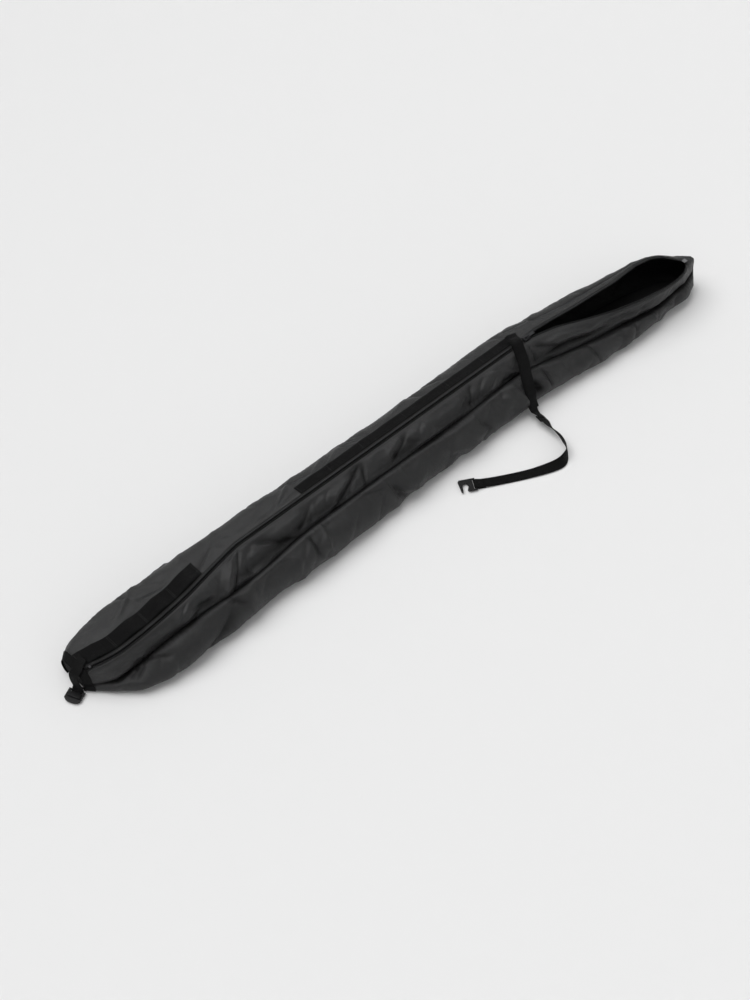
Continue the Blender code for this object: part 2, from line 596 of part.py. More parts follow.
def add_strap():
    """Free strap: over the near side, through the adjuster, along the floor and round the hook bar."""
    upper = spline(list(STRAP_START) + [drape_point(*row) for row in STRAP_DRAPE] + list(STRAP_LAND), 4)
    run, _ = frame_axes(ADJUSTER_ANGLE)
    weave = list(turned([(s, 0.0, z) for s, z in ADJUSTER_WEAVE], ADJUSTER_ANGLE, ADJUSTER_AT, -ADJUSTER_TILT))
    hook_run, _ = frame_axes(HOOK_ANGLE)
    lower = spline([weave[-1]] + [np.array(point) for point in STRAP_LOWER], 6)[1:]
    bar = np.array(HOOK_BAR)
    loop = [bar + hook_run * HOOK_LOOP * math.sin(a) + np.array((0, 0, HOOK_LOOP * math.cos(a)))
            for a in np.radians(np.arange(0, 181, 22.5))]
    back = [bar - hook_run * behind + np.array((0, 0, height - bar[2])) for behind, height in STRAP_TIP]
    path = np.array(list(upper) + weave + list(lower) + loop + back)
    tilt = np.concatenate([np.interp(np.linspace(0, 1, len(upper)), (0, 0.72, 1), (0, 0, ADJUSTER_TILT)),
                           np.full(len(weave), ADJUSTER_TILT),
                           np.interp(np.linspace(0, 1, len(lower)), [row[0] for row in STRAP_TILT],
                                     [row[1] for row in STRAP_TILT]), np.zeros(len(loop) + len(back))])
    flat = np.gradient(path, axis=0)
    flat[len(upper) + len(weave) + len(lower):] = hook_run
    flat[len(upper):len(upper) + len(weave)] = run
    heading = np.radians(np.linspace(*STRAP_HEADING, len(upper)))
    flat[:len(upper)] = np.stack([np.cos(heading), np.sin(heading), np.zeros(len(upper))], 1)
    flat[:, 2] = 0
    flat /= np.linalg.norm(flat, axis=1, keepdims=True)
    side = np.stack([flat[:, 1], -flat[:, 0], np.zeros(len(flat))], 1)
    across = side * np.cos(tilt)[:, None] + np.array((0, 0, 1.0)) * np.sin(tilt)[:, None]
    ribbon("strap_webbing", path, across, STRAP_WIDTH, WEB_THICK, "webbing")

    count = len(upper)
    over = upper + np.array((0.004, 0.0, 0.0))
    along = np.gradient(upper, axis=0)
    along /= np.linalg.norm(along, axis=1, keepdims=True)
    rise = np.cross(along, across[:count])
    rise /= np.linalg.norm(rise, axis=1, keepdims=True)
    rise = rise if rise[0, 2] > 0 else -rise
    ribbon("strap_return_webbing", (over + rise * (WEB_THICK + WEB_GAP))[:-5], across[:count - 5], STRAP_WIDTH,
           WEB_THICK, "webbing")


def add_adjuster():
    half_x, half_y = ADJUSTER_LENGTH / 2, ADJUSTER_WIDTH / 2
    bar, arm = ADJUSTER_BAR, ADJUSTER_ARM

    def place(points):
        return turned(points, ADJUSTER_ANGLE, ADJUSTER_AT, -ADJUSTER_TILT)

    body = box("strap_adjuster", (-half_x, -half_y, -bar / 2), (half_x, half_y, bar / 2), "plastic_black",
               ADJUSTER_AT, place)
    slots = []
    for side in (-1, 1):
        low, high = sorted((side * bar / 2, side * (half_x - bar)))
        slots.append(box("slot", (low, -half_y + arm, -bar), (high, half_y - arm, bar), "plastic_black",
                         ADJUSTER_AT, place))
    boolean(body, slots, "DIFFERENCE")


def add_hook():
    """Flat hook: webbing bar at the origin of its own axes, open mouth toward the near side."""
    half = HOOK_WIDTH / 2
    bar = HOOK_THICK / 2
    outline = ((-bar, half), *HOOK_OUTLINE, (-bar, -half))

    def place(points):
        return turned(points, HOOK_ANGLE, HOOK_BAR)

    body = prism("strap_hook", outline, -bar, bar, "plastic_black", HOOK_BAR, place)
    side = STRAP_WIDTH / 2 + SLOT_SIDE_GAP
    slot = box("slot", (bar, -side, -SLOT_REACH), (bar + HOOK_SLOT, side, SLOT_REACH), "plastic_black",
               HOOK_BAR, place)
    boolean(body, [slot], "DIFFERENCE")


def add_tail_buckle():
    """Ladder buckle on the floor and the web neck that holds it."""
    run, _ = frame_axes(BUCKLE_ANGLE)
    half = BUCKLE_WIDTH / 2
    bar = BUCKLE_THICK / 2

    def place(points):
        return turned(points, BUCKLE_ANGLE, BUCKLE_BAR)

    nose = [(BUCKLE_LENGTH - back, half - inset) for back, inset in BUCKLE_CORNERS]
    outline = [(-bar, -half)] + [(x, -y) for x, y in nose] + nose[::-1] + [(-bar, half)]
    body = prism("tail_buckle", outline, -bar, bar, "plastic_black", BUCKLE_BAR, place)
    side = STRAP_WIDTH / 2 + SLOT_SIDE_GAP
    slots = [box("slot", (low, -side, -SLOT_REACH), (high, side, SLOT_REACH), "plastic_black", BUCKLE_BAR, place)
             for low, high in BUCKLE_SLOTS]
    boolean(body, slots, "DIFFERENCE")

    lead = []
    for x, start, lift in NECK_LIFTS:
        y, z = by_length(far_curve(x), start, start + 0.002, 2)[0]
        lead.append((x, y, z + lift))
    y, z = lead[-1][1], lead[-1][2]
    barpoint = np.array(BUCKLE_BAR)
    loop = [barpoint + run * HOOK_LOOP * math.sin(a) + np.array((0, 0, HOOK_LOOP * math.cos(a)))
            for a in np.radians(np.arange(0, 181, 22.5))]
    lead = spline(lead + [(TAIL_X - 0.0085, y - 0.001, z - 0.009), (TAIL_X - 0.0105, y - 0.005, z - 0.023),
                          tuple(loop[0] - run * 0.0045 + np.array((0, 0, 0.0070))),
                          tuple(loop[0] - run * 0.0025 + np.array((0, 0, 0.0012)))], 5)
    back = [barpoint - run * behind + np.array((0, 0, height)) for behind, height in NECK_TIP]
    path = np.array(list(lead) + loop + back)
    spin = np.linspace(0, 1, len(lead))
    across = [(0.42 * t, -1 + 0.09 * t, 0.0) for t in spin] + [(0.42, -0.91, 0.0)] * (len(loop) + len(back))
    ribbon("tail_web_loop", path, across, STRAP_WIDTH * 0.96, WEB_THICK, "webbing")


clear_scene()
add_shell()
add_zip_tapes()
add_tail_end()
add_nose()
add_zip_rows()
add_zip_stops()
add_puller(add_slider())
add_webbing()
add_strap()
add_adjuster()
add_hook()
add_tail_buckle()
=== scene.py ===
import math

import bpy
import numpy as np
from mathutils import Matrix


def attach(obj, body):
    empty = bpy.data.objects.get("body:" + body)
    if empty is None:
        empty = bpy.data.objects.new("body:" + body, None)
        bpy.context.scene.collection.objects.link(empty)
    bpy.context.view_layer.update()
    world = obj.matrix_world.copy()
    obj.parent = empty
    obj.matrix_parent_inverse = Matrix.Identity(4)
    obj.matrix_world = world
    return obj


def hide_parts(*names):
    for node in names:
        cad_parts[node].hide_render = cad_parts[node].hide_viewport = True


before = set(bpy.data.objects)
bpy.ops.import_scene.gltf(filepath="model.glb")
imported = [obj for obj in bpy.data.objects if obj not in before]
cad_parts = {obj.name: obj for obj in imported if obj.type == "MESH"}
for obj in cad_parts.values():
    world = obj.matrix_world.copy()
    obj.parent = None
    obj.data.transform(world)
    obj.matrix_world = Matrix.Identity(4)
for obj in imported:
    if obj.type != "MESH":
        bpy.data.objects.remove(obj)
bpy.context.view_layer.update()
rng = np.random.default_rng(11)
frameShift = np.array((-0.0019, -0.0102, 0.0))   # bag drawing to row frame
print("frame loaded")

# camera, floor, light

studio = {"elevation": 51.5, "azimuth": -42.7, "distance": 4.116, "lens": 66.5,
          "aim": (-0.0818, -0.0200, 0.0490), "shiftX": -0.002, "shiftY": -0.022,
          "floorTone": 0.80, "wallRadius": 10.0, "wallHeight": 7.0, "wallBend": 2.0, "wallSteps": 72,
          "floorRings": (0.001, 2.0, 5.0), "floorDrop": 0.0006, "sensor": 36, "clipEnd": 60,
          "worldTone": 0.44, "sunTone": 2.02, "sunAngle": 56, "sunWay": (0.22, -0.42, -1.0)}


def makeCamera(values):
    # camera sits on a sphere round the aim point, looking back at it
    e, a = math.radians(values["elevation"]), math.radians(values["azimuth"])
    back = np.array((math.sin(a) * math.cos(e), -math.cos(a) * math.cos(e), math.sin(e)))
    data = bpy.data.cameras.new("viewCamera")
    data.sensor_width = values["sensor"]
    data.lens = values["lens"]
    data.shift_x, data.shift_y = values["shiftX"], values["shiftY"]
    data.clip_end = values["clipEnd"]
    camera = bpy.data.objects.new("viewCamera", data)
    camera.location = (np.array(values["aim"]) + back * values["distance"]).tolist()
    camera.rotation_euler = (math.radians(90 - values["elevation"]), 0, a)
    bpy.context.scene.collection.objects.link(camera)
    bpy.context.scene.camera = camera


makeCamera(studio)

# mesh and curve helpers


def smoothTable(table, column, x):
    # cubic Hermite through one column, slopes from neighbouring stations
    xs = np.array([row[0] for row in table])
    ys = np.array([row[column] for row in table])
    slope = np.gradient(ys, xs)
    x = np.clip(x, xs[0], xs[-1])
    k = np.clip(np.searchsorted(xs, x, side="right") - 1, 0, len(xs) - 2)
    step = xs[k + 1] - xs[k]
    t = (x - xs[k]) / step
    start = (2 * t**3 - 3 * t**2 + 1) * ys[k] + (t**3 - 2 * t**2 + t) * step * slope[k]
    return start + (3 * t**2 - 2 * t**3) * ys[k + 1] + (t**3 - t**2) * step * slope[k + 1]


def bezierRows(p0, p1, p2, p3, t):
    # one cubic Bezier for each row; the points are (rows, 2) arrays
    t = t[None, :, None]
    p0, p1, p2, p3 = (p[:, None, :] for p in (p0, p1, p2, p3))
    return p0 * (1 - t)**3 + 3 * p1 * t * (1 - t)**2 + 3 * p2 * t**2 * (1 - t) + p3 * t**3


def alongRows(curve, want):
    # points at the arc lengths want (rows, count) of each row's polyline
    step = np.linalg.norm(np.diff(curve, axis=1), axis=2)
    travel = np.concatenate([np.zeros((len(curve), 1)), np.cumsum(step, axis=1)], axis=1)
    lane = 10.0 * np.arange(len(curve))[:, None]
    want = np.clip(want, 0, travel[:, -1:])
    flat, at = (travel + lane).ravel(), (want + lane).ravel()
    return np.stack([np.interp(at, flat, curve[..., k].ravel()).reshape(want.shape) for k in range(2)], axis=2)


def rowLength(curve):
    # sum of the straight steps along each row
    return np.linalg.norm(np.diff(curve, axis=1), axis=2).sum(axis=1)


def withX(xs, pairs):
    # (rows, count, 2) y z pairs and the rows' x made into points
    return np.concatenate([np.broadcast_to(xs[:, None, None], pairs.shape[:2] + (1,)), pairs], axis=2)


def gridNormals(grid):
    # cross product of the slopes along the rows and along the columns, made unit length
    normal = np.cross(np.gradient(grid, axis=0), np.gradient(grid, axis=1))
    return normal / np.maximum(np.linalg.norm(normal, axis=2, keepdims=True), 1e-12)


def catmull(points, perSpan):
    # smooth curve through the points, perSpan samples between neighbours
    p = np.asarray(points, float)
    p = np.concatenate([2 * p[:1] - p[1:2], p, 2 * p[-1:] - p[-2:-1]])
    t = np.linspace(0, 1, perSpan, endpoint=False)[None, :, None]
    a, b, c, d = (p[k:len(p) - 3 + k, None, :] for k in range(4))
    made = 0.5 * (2 * b + (c - a) * t + (2 * a - 5 * b + 4 * c - d) * t**2 + (3 * b - a - 3 * c + d) * t**3)
    return np.concatenate([made.reshape(-1, p.shape[1]), p[-2:-1]])


def pathTravel(path):
    # distance walked along the path at each of its points
    return np.concatenate([[0], np.cumsum(np.linalg.norm(np.diff(path, axis=0), axis=1))])


def finishMesh(name, mesh, material, body):
    # the mesh made smooth, given its material, and put in the scene as a rider on its body
    mesh.shade_smooth()
    mesh.materials.append(material)
    piece = bpy.data.objects.new(name, mesh)
    bpy.context.scene.collection.objects.link(piece)
    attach(piece, body)
    return piece


def addPiece(name, points, faces, material, uv=None, body="shell"):
    # quads over points of the bag drawing, shifted once into the row frame
    mesh = bpy.data.meshes.new(name)
    points = points.reshape(-1, 3) + frameShift
    count, corners = faces.shape
    mesh.vertices.add(len(points))
    mesh.vertices.foreach_set("co", points.astype(np.float32).ravel())
    mesh.loops.add(count * corners)
    mesh.loops.foreach_set("vertex_index", faces.astype(np.int32).ravel())
    mesh.polygons.add(count)
    mesh.polygons.foreach_set("loop_start", np.arange(0, count * corners, corners, dtype=np.int32))
    if uv is not None:
        layer = mesh.uv_layers.new(name="cloth")
        layer.data.foreach_set("uv", uv.reshape(-1, 2)[faces.ravel()].astype(np.float32).ravel())
    mesh.update(calc_edges=True)
    mesh.validate()
    return finishMesh(name, mesh, material, body)


def gridFaces(rows, cols, closedRows=False, closedCols=False, flip=False):
    # quad i, j joins grid points i, j to i + 1, j + 1, wrapped round where a way is closed
    i, j = np.meshgrid(np.arange(rows if closedRows else rows - 1), np.arange(cols if closedCols else cols - 1),
                       indexing="ij")
    n, m = (i + 1) % rows, (j + 1) % cols
    quads = np.stack([i * cols + j, n * cols + j, n * cols + m, i * cols + m], axis=2).reshape(-1, 4)
    return quads[:, ::-1] if flip else quads


def windsInward(grid, axis, sign):
    # True where the grid's own winding has to be turned to face along sign times the axis
    return gridNormals(grid)[grid.shape[0] // 2, grid.shape[1] // 2, axis] * sign < 0


def clothUv(grid):
    # metres along the bag and across the panel
    step = np.linalg.norm(np.diff(grid, axis=1), axis=2)
    v = np.concatenate([np.zeros((grid.shape[0], 1)), np.cumsum(step, axis=1)], axis=1)
    return np.stack([grid[..., 0], v], axis=2)


def addSheet(name, grid, axis, sign, material, thick, node=None, uv=None, lining=None):
    # the grid with a wall of its thickness behind it, facing along sign times the axis
    faces = gridFaces(*grid.shape[:2], flip=windsInward(grid, axis, sign))
    piece = addPiece(name, grid, faces, material, clothUv(grid) if uv is None else uv)
    wall = piece.modifiers.new("cloth thickness", "SOLIDIFY")
    wall.thickness, wall.offset = thick, -1.0
    if lining:
        piece.data.materials.append(lining)
        wall.material_offset = 1
    if node:
        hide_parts(node)
    return piece


def sweepProfile(path, across, profile):
    # profile (side, up) carried along the path: point = path + side * across + up * normal
    along = np.gradient(path, axis=0)
    along /= np.linalg.norm(along, axis=1, keepdims=True)
    across = across - (across * along).sum(axis=1, keepdims=True) * along
    across /= np.linalg.norm(across, axis=1, keepdims=True)
    up = np.cross(along, across)
    return path[:, None] + profile[None, :, :1] * across[:, None] + profile[None, :, 1:] * up[:, None]


def webProfile(width, thick, steps=11):
    # flat band with half-round edges, upper side first
    half, r = width / 2, thick / 2
    y = np.linspace(-half + r, half - r, steps)
    turn = np.linspace(0, math.pi, 5)[1:-1]
    right = np.stack([half - r + r * np.sin(turn), r * np.cos(turn)], 1)
    upper, lower = np.stack([y, np.full(steps, r)], 1), np.stack([y[::-1], np.full(steps, -r)], 1)
    return np.concatenate([upper, right, lower, -right])


def fanVolume(points, faces):
    # six times the volume between the origin and the faces, each cut into a fan of triangles
    a = points[faces[:, 0]]
    return sum((np.cross(points[faces[:, k]] - a, points[faces[:, k + 1]] - a) * a).sum()
               for k in range(1, faces.shape[1] - 1))


def addRing(name, ring, uv, material):
    # closed tube from rings of points with a fan over each end, wound outward by the sign of its volume
    rows, cols = ring.shape[:2]
    points = np.concatenate([ring.reshape(-1, 3), ring[[0, -1]].mean(axis=1)])
    uvAll = np.concatenate([uv.reshape(-1, 2), uv[[0, -1]].mean(axis=1)])
    j, last = np.arange(cols), (rows - 1) * cols
    startFan = np.stack([j, (j + 1) % cols, np.full(cols, rows * cols)], 1)
    endFan = np.stack([last + (j + 1) % cols, last + j, np.full(cols, rows * cols + 1)], 1)
    quads, tris = gridFaces(rows, cols, closedCols=True), np.concatenate([startFan, endFan])
    if fanVolume(points, quads) + fanVolume(points, tris) < 0:
        quads, tris = quads[:, ::-1], tris[:, ::-1]
    mesh = bpy.data.meshes.new(name)
    mesh.from_pydata((points + frameShift).tolist(), [], quads.tolist() + tris.tolist())
    layer = mesh.uv_layers.new(name="cloth")
    order = np.concatenate([quads.ravel(), tris.ravel()])
    layer.data.foreach_set("uv", uvAll[order].astype(np.float32).ravel())
    mesh.update(calc_edges=True)
    return finishMesh(name, mesh, material, "shell")


def asWebbing(piece, node):
    # webbing that stands for one node of the frame
    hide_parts(node)
    return piece


def looseBand(name, node, path, across, width, thick):
    # webbing off the bag: rounded flat profile carried along the path
    profile = webProfile(width, thick)
    ring = sweepProfile(path, across, profile)
    uv = np.stack(np.broadcast_arrays(pathTravel(path)[:, None], profile[None, :, 0] + width / 2), axis=2)
    return asWebbing(addRing(name, ring, uv, webbing), node)


def drapedBand(name, node, panel, xs, start, values, lift, steps):
    # webbing lying on a panel, its rounded profile carried along xs; lift may change along it
    width, thick = values["width"], values["thick"]
    profile = webProfile(width, thick, steps)
    x = np.broadcast_to(xs[:, None], (len(xs), len(profile)))
    v = np.broadcast_to(start + width / 2 + profile[None, :, 0], x.shape)
    high = np.broadcast_to(lift, xs.shape)[:, None] + thick / 2 + profile[None, :, 1]
    uv = np.stack([x, np.broadcast_to(profile[None, :, 0] + width / 2, x.shape)], axis=2)
    return asWebbing(addRing(name, onPanel(panel, x, v, high), uv, webbing), node)


# bag shape tables

# x, base near y, side near y, seam near y z, zip y z, seam far y z, side far y, base far y
sections = (
    (-0.880, 0.026, 0.014, 0.017, 0.018, 0.027, 0.042, 0.082, 0.038, 0.090, 0.074),
    (-0.862, 0.005, -0.007, 0.000, 0.022, 0.018, 0.060, 0.094, 0.050, 0.102, 0.080),
    (-0.830, -0.015, -0.040, -0.026, 0.030, 0.000, 0.079, 0.102, 0.062, 0.110, 0.082),
    (-0.800, -0.031, -0.069, -0.036, 0.042, -0.011, 0.090, 0.106, 0.069, 0.114, 0.082),
    (-0.762, -0.043, -0.085, -0.041, 0.054, -0.015, 0.098, 0.108, 0.074, 0.116, 0.083),
    (-0.700, -0.053, -0.094, -0.045, 0.067, -0.013, 0.102, 0.107, 0.075, 0.116, 0.082),
    (-0.620, -0.057, -0.094, -0.047, 0.074, -0.005, 0.105, 0.105, 0.078, 0.114, 0.080),
    (-0.520, -0.055, -0.091, -0.051, 0.077, 0.014, 0.106, 0.102, 0.080, 0.111, 0.078),
    (-0.450, -0.053, -0.089, -0.050, 0.078, 0.026, 0.105, 0.101, 0.080, 0.110, 0.077),
    (-0.330, -0.052, -0.087, -0.038, 0.080, 0.026, 0.105, 0.100, 0.080, 0.109, 0.076),
    (-0.150, -0.049, -0.082, -0.034, 0.080, 0.026, 0.105, 0.098, 0.079, 0.107, 0.074),
    (0.050, -0.047, -0.079, -0.034, 0.079, 0.026, 0.105, 0.096, 0.079, 0.105, 0.072),
    (0.180, -0.045, -0.077, -0.034, 0.079, 0.026, 0.105, 0.097, 0.079, 0.106, 0.073),
    (0.300, -0.043, -0.075, -0.029, 0.080, 0.026, 0.105, 0.099, 0.079, 0.109, 0.075),
    (0.370, -0.042, -0.074, -0.030, 0.079, 0.026, 0.105, 0.099, 0.078, 0.108, 0.074),
    (0.430, -0.044, -0.079, -0.038, 0.074, 0.026, 0.105, 0.096, 0.076, 0.105, 0.070),
    (0.500, -0.049, -0.086, -0.049, 0.066, 0.026, 0.103, 0.089, 0.073, 0.098, 0.064),
    (0.590, -0.055, -0.091, -0.063, 0.060, 0.020, 0.100, 0.078, 0.070, 0.087, 0.054),
    (0.670, -0.057, -0.093, -0.071, 0.056, 0.010, 0.098, 0.067, 0.068, 0.076, 0.044),
    (0.770, -0.055, -0.091, -0.082, 0.053, 0.000, 0.097, 0.052, 0.066, 0.061, 0.030),
    (0.840, -0.049, -0.087, -0.080, 0.052, -0.020, 0.096, 0.036, 0.065, 0.045, 0.014),
    (0.885, -0.045, -0.081, -0.074, 0.052, -0.045, 0.094, 0.011, 0.064, 0.020, -0.003),
    (0.912, -0.048, -0.072, -0.066, 0.054, -0.049, 0.091, -0.016, 0.062, -0.010, -0.025),
    (0.927, -0.050, -0.058, -0.057, 0.056, -0.049, 0.088, -0.039, 0.060, -0.037, -0.042),
)
# open mouth: x, near lip y, far lip y
lips = ((0.430, 0.0252, 0.0268), (0.450, 0.022, 0.030), (0.507, 0.009, 0.027), (0.587, -0.0235, 0.021),
        (0.651, -0.046, 0.018), (0.719, -0.063, 0.014), (0.797, -0.076, 0.017), (0.840, -0.077, 0.010),
        (0.867, -0.072, -0.006), (0.885, -0.063, -0.032), (0.895, -0.053, -0.046))
zipTrack = {"y": 0.026, "z": 0.105, "closedEnd": 0.430, "levelStart": -0.450, "halfGap": 0.0008}


def zipLip(x, side):
    # inner edge of one zip tape, side -1 near and +1 far, as (rows, 2)
    level = (x >= zipTrack["levelStart"]) & (x <= zipTrack["closedEnd"])
    y = np.where(level, zipTrack["y"], smoothTable(sections, 5, x)) + side * zipTrack["halfGap"]
    z = np.where(level, zipTrack["z"], smoothTable(sections, 6, x))
    opened = np.interp(x, [row[0] for row in lips], [row[2 if side > 0 else 1] for row in lips])
    return np.stack([np.where(x <= zipTrack["closedEnd"], y, opened), z], axis=1)


def columnPair(x, k):
    # y and z from two neighbouring columns of the table
    return np.stack([smoothTable(sections, k, x), smoothTable(sections, k + 1, x)], axis=1)


def nearTop(x, steps=60):
    # near upper fabric, from the zip down to the near seam
    seam, edge = columnPair(x, 3), zipLip(x, -1)
    run, rise = (edge - seam).T
    lower = seam + np.stack([0.18 * run, 0.62 * rise], 1)
    upper = edge - np.stack([0.4 * run, 0 * run], 1)
    return bezierRows(edge, upper, lower, seam, np.linspace(0, 1, steps))


def farTop(x, steps=60):
    # far upper fabric, from the zip to the far seam
    seam, edge = columnPair(x, 7), zipLip(x, 1)
    run, drop = seam[:, 0] - edge[:, 0], edge[:, 1] - seam[:, 1]
    first = edge + np.stack([0.5 * run, np.full(len(x), 0.001)], 1)
    second = seam + np.stack([-0.05 * run, 0.9 * drop], 1)
    return bezierRows(edge, first, second, seam, np.linspace(0, 1, steps))


def sideWall(x, side, steps=50):
    # side panel from its seam down to the floor
    base = smoothTable(sections, 1 if side < 0 else 10, x)
    bulge = smoothTable(sections, 2 if side < 0 else 9, x)
    seam = columnPair(x, 3 if side < 0 else 7)
    reach = side * np.abs(bulge - base) * (0.45 if side < 0 else 0.25)
    foot = np.stack([base, np.full(len(x), 0.0004)], 1)
    low = np.stack([bulge + reach, 0.05 * seam[:, 1]], 1)
    high = np.stack([bulge + 0.8 * reach, 0.75 * seam[:, 1]], 1)
    return bezierRows(seam, high, low, foot, np.linspace(0, 1, steps))


# cloth relief


def latticeNoise(u, v, seed):
    # smooth value noise between -1 and 1, one cell per unit
    table = np.random.default_rng(seed).uniform(-1, 1, (256, 256))
    i, j = np.floor(u).astype(int), np.floor(v).astype(int)
    s, t = u - i, v - j
    s, t = s * s * s * (s * (6 * s - 15) + 10), t * t * t * (t * (6 * t - 15) + 10)
    a, b = table[i % 256, j % 256], table[(i + 1) % 256, j % 256]
    c, d = table[i % 256, (j + 1) % 256], table[(i + 1) % 256, (j + 1) % 256]
    return (a * (1 - s) + b * s) * (1 - t) + (c * (1 - s) + d * s) * t


def ridges(u, v, angle, length, width, seed):
    # long creases: narrow where the noise crosses zero
    c, s = math.cos(angle), math.sin(angle)
    along, over = (u * c + v * s) / length, (v * c - u * s) / width
    bend = 0.5 * latticeNoise(along * 1.7 + 9, over * 0.4 + 4, seed + 1)
    return (1 - np.abs(latticeNoise(along, over + bend, seed)) * 2.2).clip(0, 1)**2


def facetNoise(u, v, angle, length, width, seed):
    # flat facets that meet in sharp lines, long in one direction
    c, s = math.cos(angle), math.sin(angle)
    along, over = (u * c + v * s) / length, (v * c - u * s) / width
    return 0.35 - np.abs(latticeNoise(along, over + 0.6 * latticeNoise(along, over * 0.5, seed + 1), seed))


def fade(value, low, high):
    # smooth step from 0 at low to 1 at high
    t = ((value - low) / (high - low)).clip(0, 1)
    return t * t * (3 - 2 * t)


def placedFolds(folds, u, v):
    # each fold: x and v at both ends, width, height (below zero for a crease); steeper on one side
    relief = np.zeros_like(u)
    for x0, v0, x1, v1, width, height in folds:
        length = math.hypot(x1 - x0, v1 - v0)
        dx, dv = (x1 - x0) / length, (v1 - v0) / length
        along = 2 * ((u - x0) * dx + (v - v0) * dv) / length - 1
        over = (v - v0) * dx - (u - x0) * dv + 0.05 * length * along * np.abs(along)
        blunt = 0.30 * width
        side = np.where(over > 0, width, 0.55 * width)
        relief += height * np.exp(-(np.sqrt(over**2 + blunt**2) - blunt) / side) / (1 + np.abs(along / 1.05)**6)
    return relief


def scatteredFolds(count, low, high, depth, heights, seed):
    # loose folds that start near either edge of a panel and lean along the bag
    draw = np.random.default_rng(seed)
    folds = []
    for k in range(count):
        x = low + (high - low) * (k + draw.uniform(0.1, 0.9)) / count
        length, lean = draw.uniform(0.028, 0.075), math.radians(draw.uniform(28, 78) * draw.choice((-1, 1)))
        start = draw.choice((0.012, 0.42 * depth, 0.80 * depth))
        way = 1 if start < 0.5 * depth else -1
        height = draw.uniform(*heights) * draw.choice((-1.0, -1.0, 0.9))
        folds.append((x, start, x + length * math.cos(lean) * np.sign(lean),
                      start + way * length * abs(math.sin(lean)), draw.uniform(0.0035, 0.0090), height))
    return folds


cloth = {"rowStep": 0.0025, "thickness": 0.0009, "tapeCover": 0.0067, "lipLift": 0.0010,
         "topSeamWidth": 0.0090, "sideSeamWidth": 0.0052, "pucker": 0.0011,
         "puckerPitch": 0.012, "sag": 0.0032, "crease": 0.0105, "fine": 0.0006, "first": -0.8755, "last": 0.927,
         "topCols": (46, 50), "sideCols": 44, "floor": 0.0004, "nearPull": 0.0085, "farPull": 0.0035}


def clothRelief(u, v, values, seed, folds, calm):
    # height above the smooth panel: slow waves, long creases, fine creases, loose folds and placed folds
    loose, placed = folds
    slow = latticeNoise(u / 0.12, v / 0.07, seed) + 0.6 * latticeNoise(u / 0.055, v / 0.045, seed + 3)
    sag = values["sag"] * slow
    facets = (facetNoise(u, v, 0.55, 0.115, 0.040, seed + 5)
              - 0.7 * facetNoise(u, v, -0.70, 0.090, 0.034, seed + 7))
    crease = values["crease"] * facets * (0.55 + 0.45 * latticeNoise(u / 0.15, v / 0.09, seed + 8))
    fine = values["fine"] * (ridges(u, v, 1.15, 0.030, 0.008, seed + 9) - 0.4)
    byHand = placedFolds(placed, u, v)
    return (sag + crease + fine + placedFolds(loose, u, v)) * calm + byHand, byHand


def seamPucker(u, away, values, seed):
    # short gathers square to a sewn edge, dying out away from it
    wave = np.sin(2 * math.pi * u / values["puckerPitch"] + 3 * latticeNoise(u / 0.03, 0 * u + 2, seed))
    strength = 0.35 + 0.65 * latticeNoise(u / 0.05, 0 * u + 7, seed + 2).clip(0, 1)
    return values["pucker"] * wave * strength * np.exp(-(away / 0.010)**2) * (1 - np.exp(-(away / 0.003)**2))


def makePanel(xs, curve, first, cols, outAxis, outSign):
    # even rows between first and the far end of each section curve
    total = rowLength(curve)
    t = np.linspace(0, 1, cols)
    v = first + (total[:, None] - first) * t
    grid = withX(xs, alongRows(curve, v))
    normal = gridNormals(grid)
    if normal[len(xs) // 2, cols // 2, outAxis] * outSign < 0:
        normal = -normal
    return {"xs": xs, "v": v, "first": first, "total": total, "grid": grid, "normal": normal,
            "axis": outAxis, "sign": outSign, "u": np.broadcast_to(xs[:, None], v.shape)}


def raisePanel(panel, height, pull):
    # moves the panel along its normals and by the vector field pull, kept off the floor
    panel["grid"] = panel["grid"] + height[..., None] * panel["normal"] + pull
    panel["grid"][..., 2] = np.maximum(panel["grid"][..., 2], cloth["floor"])
    normal = gridNormals(panel["grid"])
    middle = normal[len(panel["xs"]) // 2, normal.shape[1] // 2, panel["axis"]]
    panel["normal"] = normal if middle * panel["sign"] > 0 else -normal


def onPanel(panel, x, v, lift):
    # point over the finished panel at distance v from its upper edge
    rows, cols = panel["v"].shape
    x, v, lift = np.broadcast_arrays(np.asarray(x, float), v, lift)
    i = np.interp(x, panel["xs"], np.arange(rows))
    total = np.interp(x, panel["xs"], panel["total"])
    j = ((v - panel["first"]) / (total - panel["first"]) * (cols - 1)).clip(0, cols - 1)
    i0, j0 = np.minimum(i.astype(int), rows - 2), np.minimum(j.astype(int), cols - 2)
    s, t = (i - i0)[..., None], (j - j0)[..., None]

    def mixed(field):
        return ((field[i0, j0] * (1 - s) + field[i0 + 1, j0] * s) * (1 - t)
                + (field[i0, j0 + 1] * (1 - s) + field[i0 + 1, j0 + 1] * s) * t)

    return mixed(panel["grid"]) + lift[..., None] * mixed(panel["normal"])


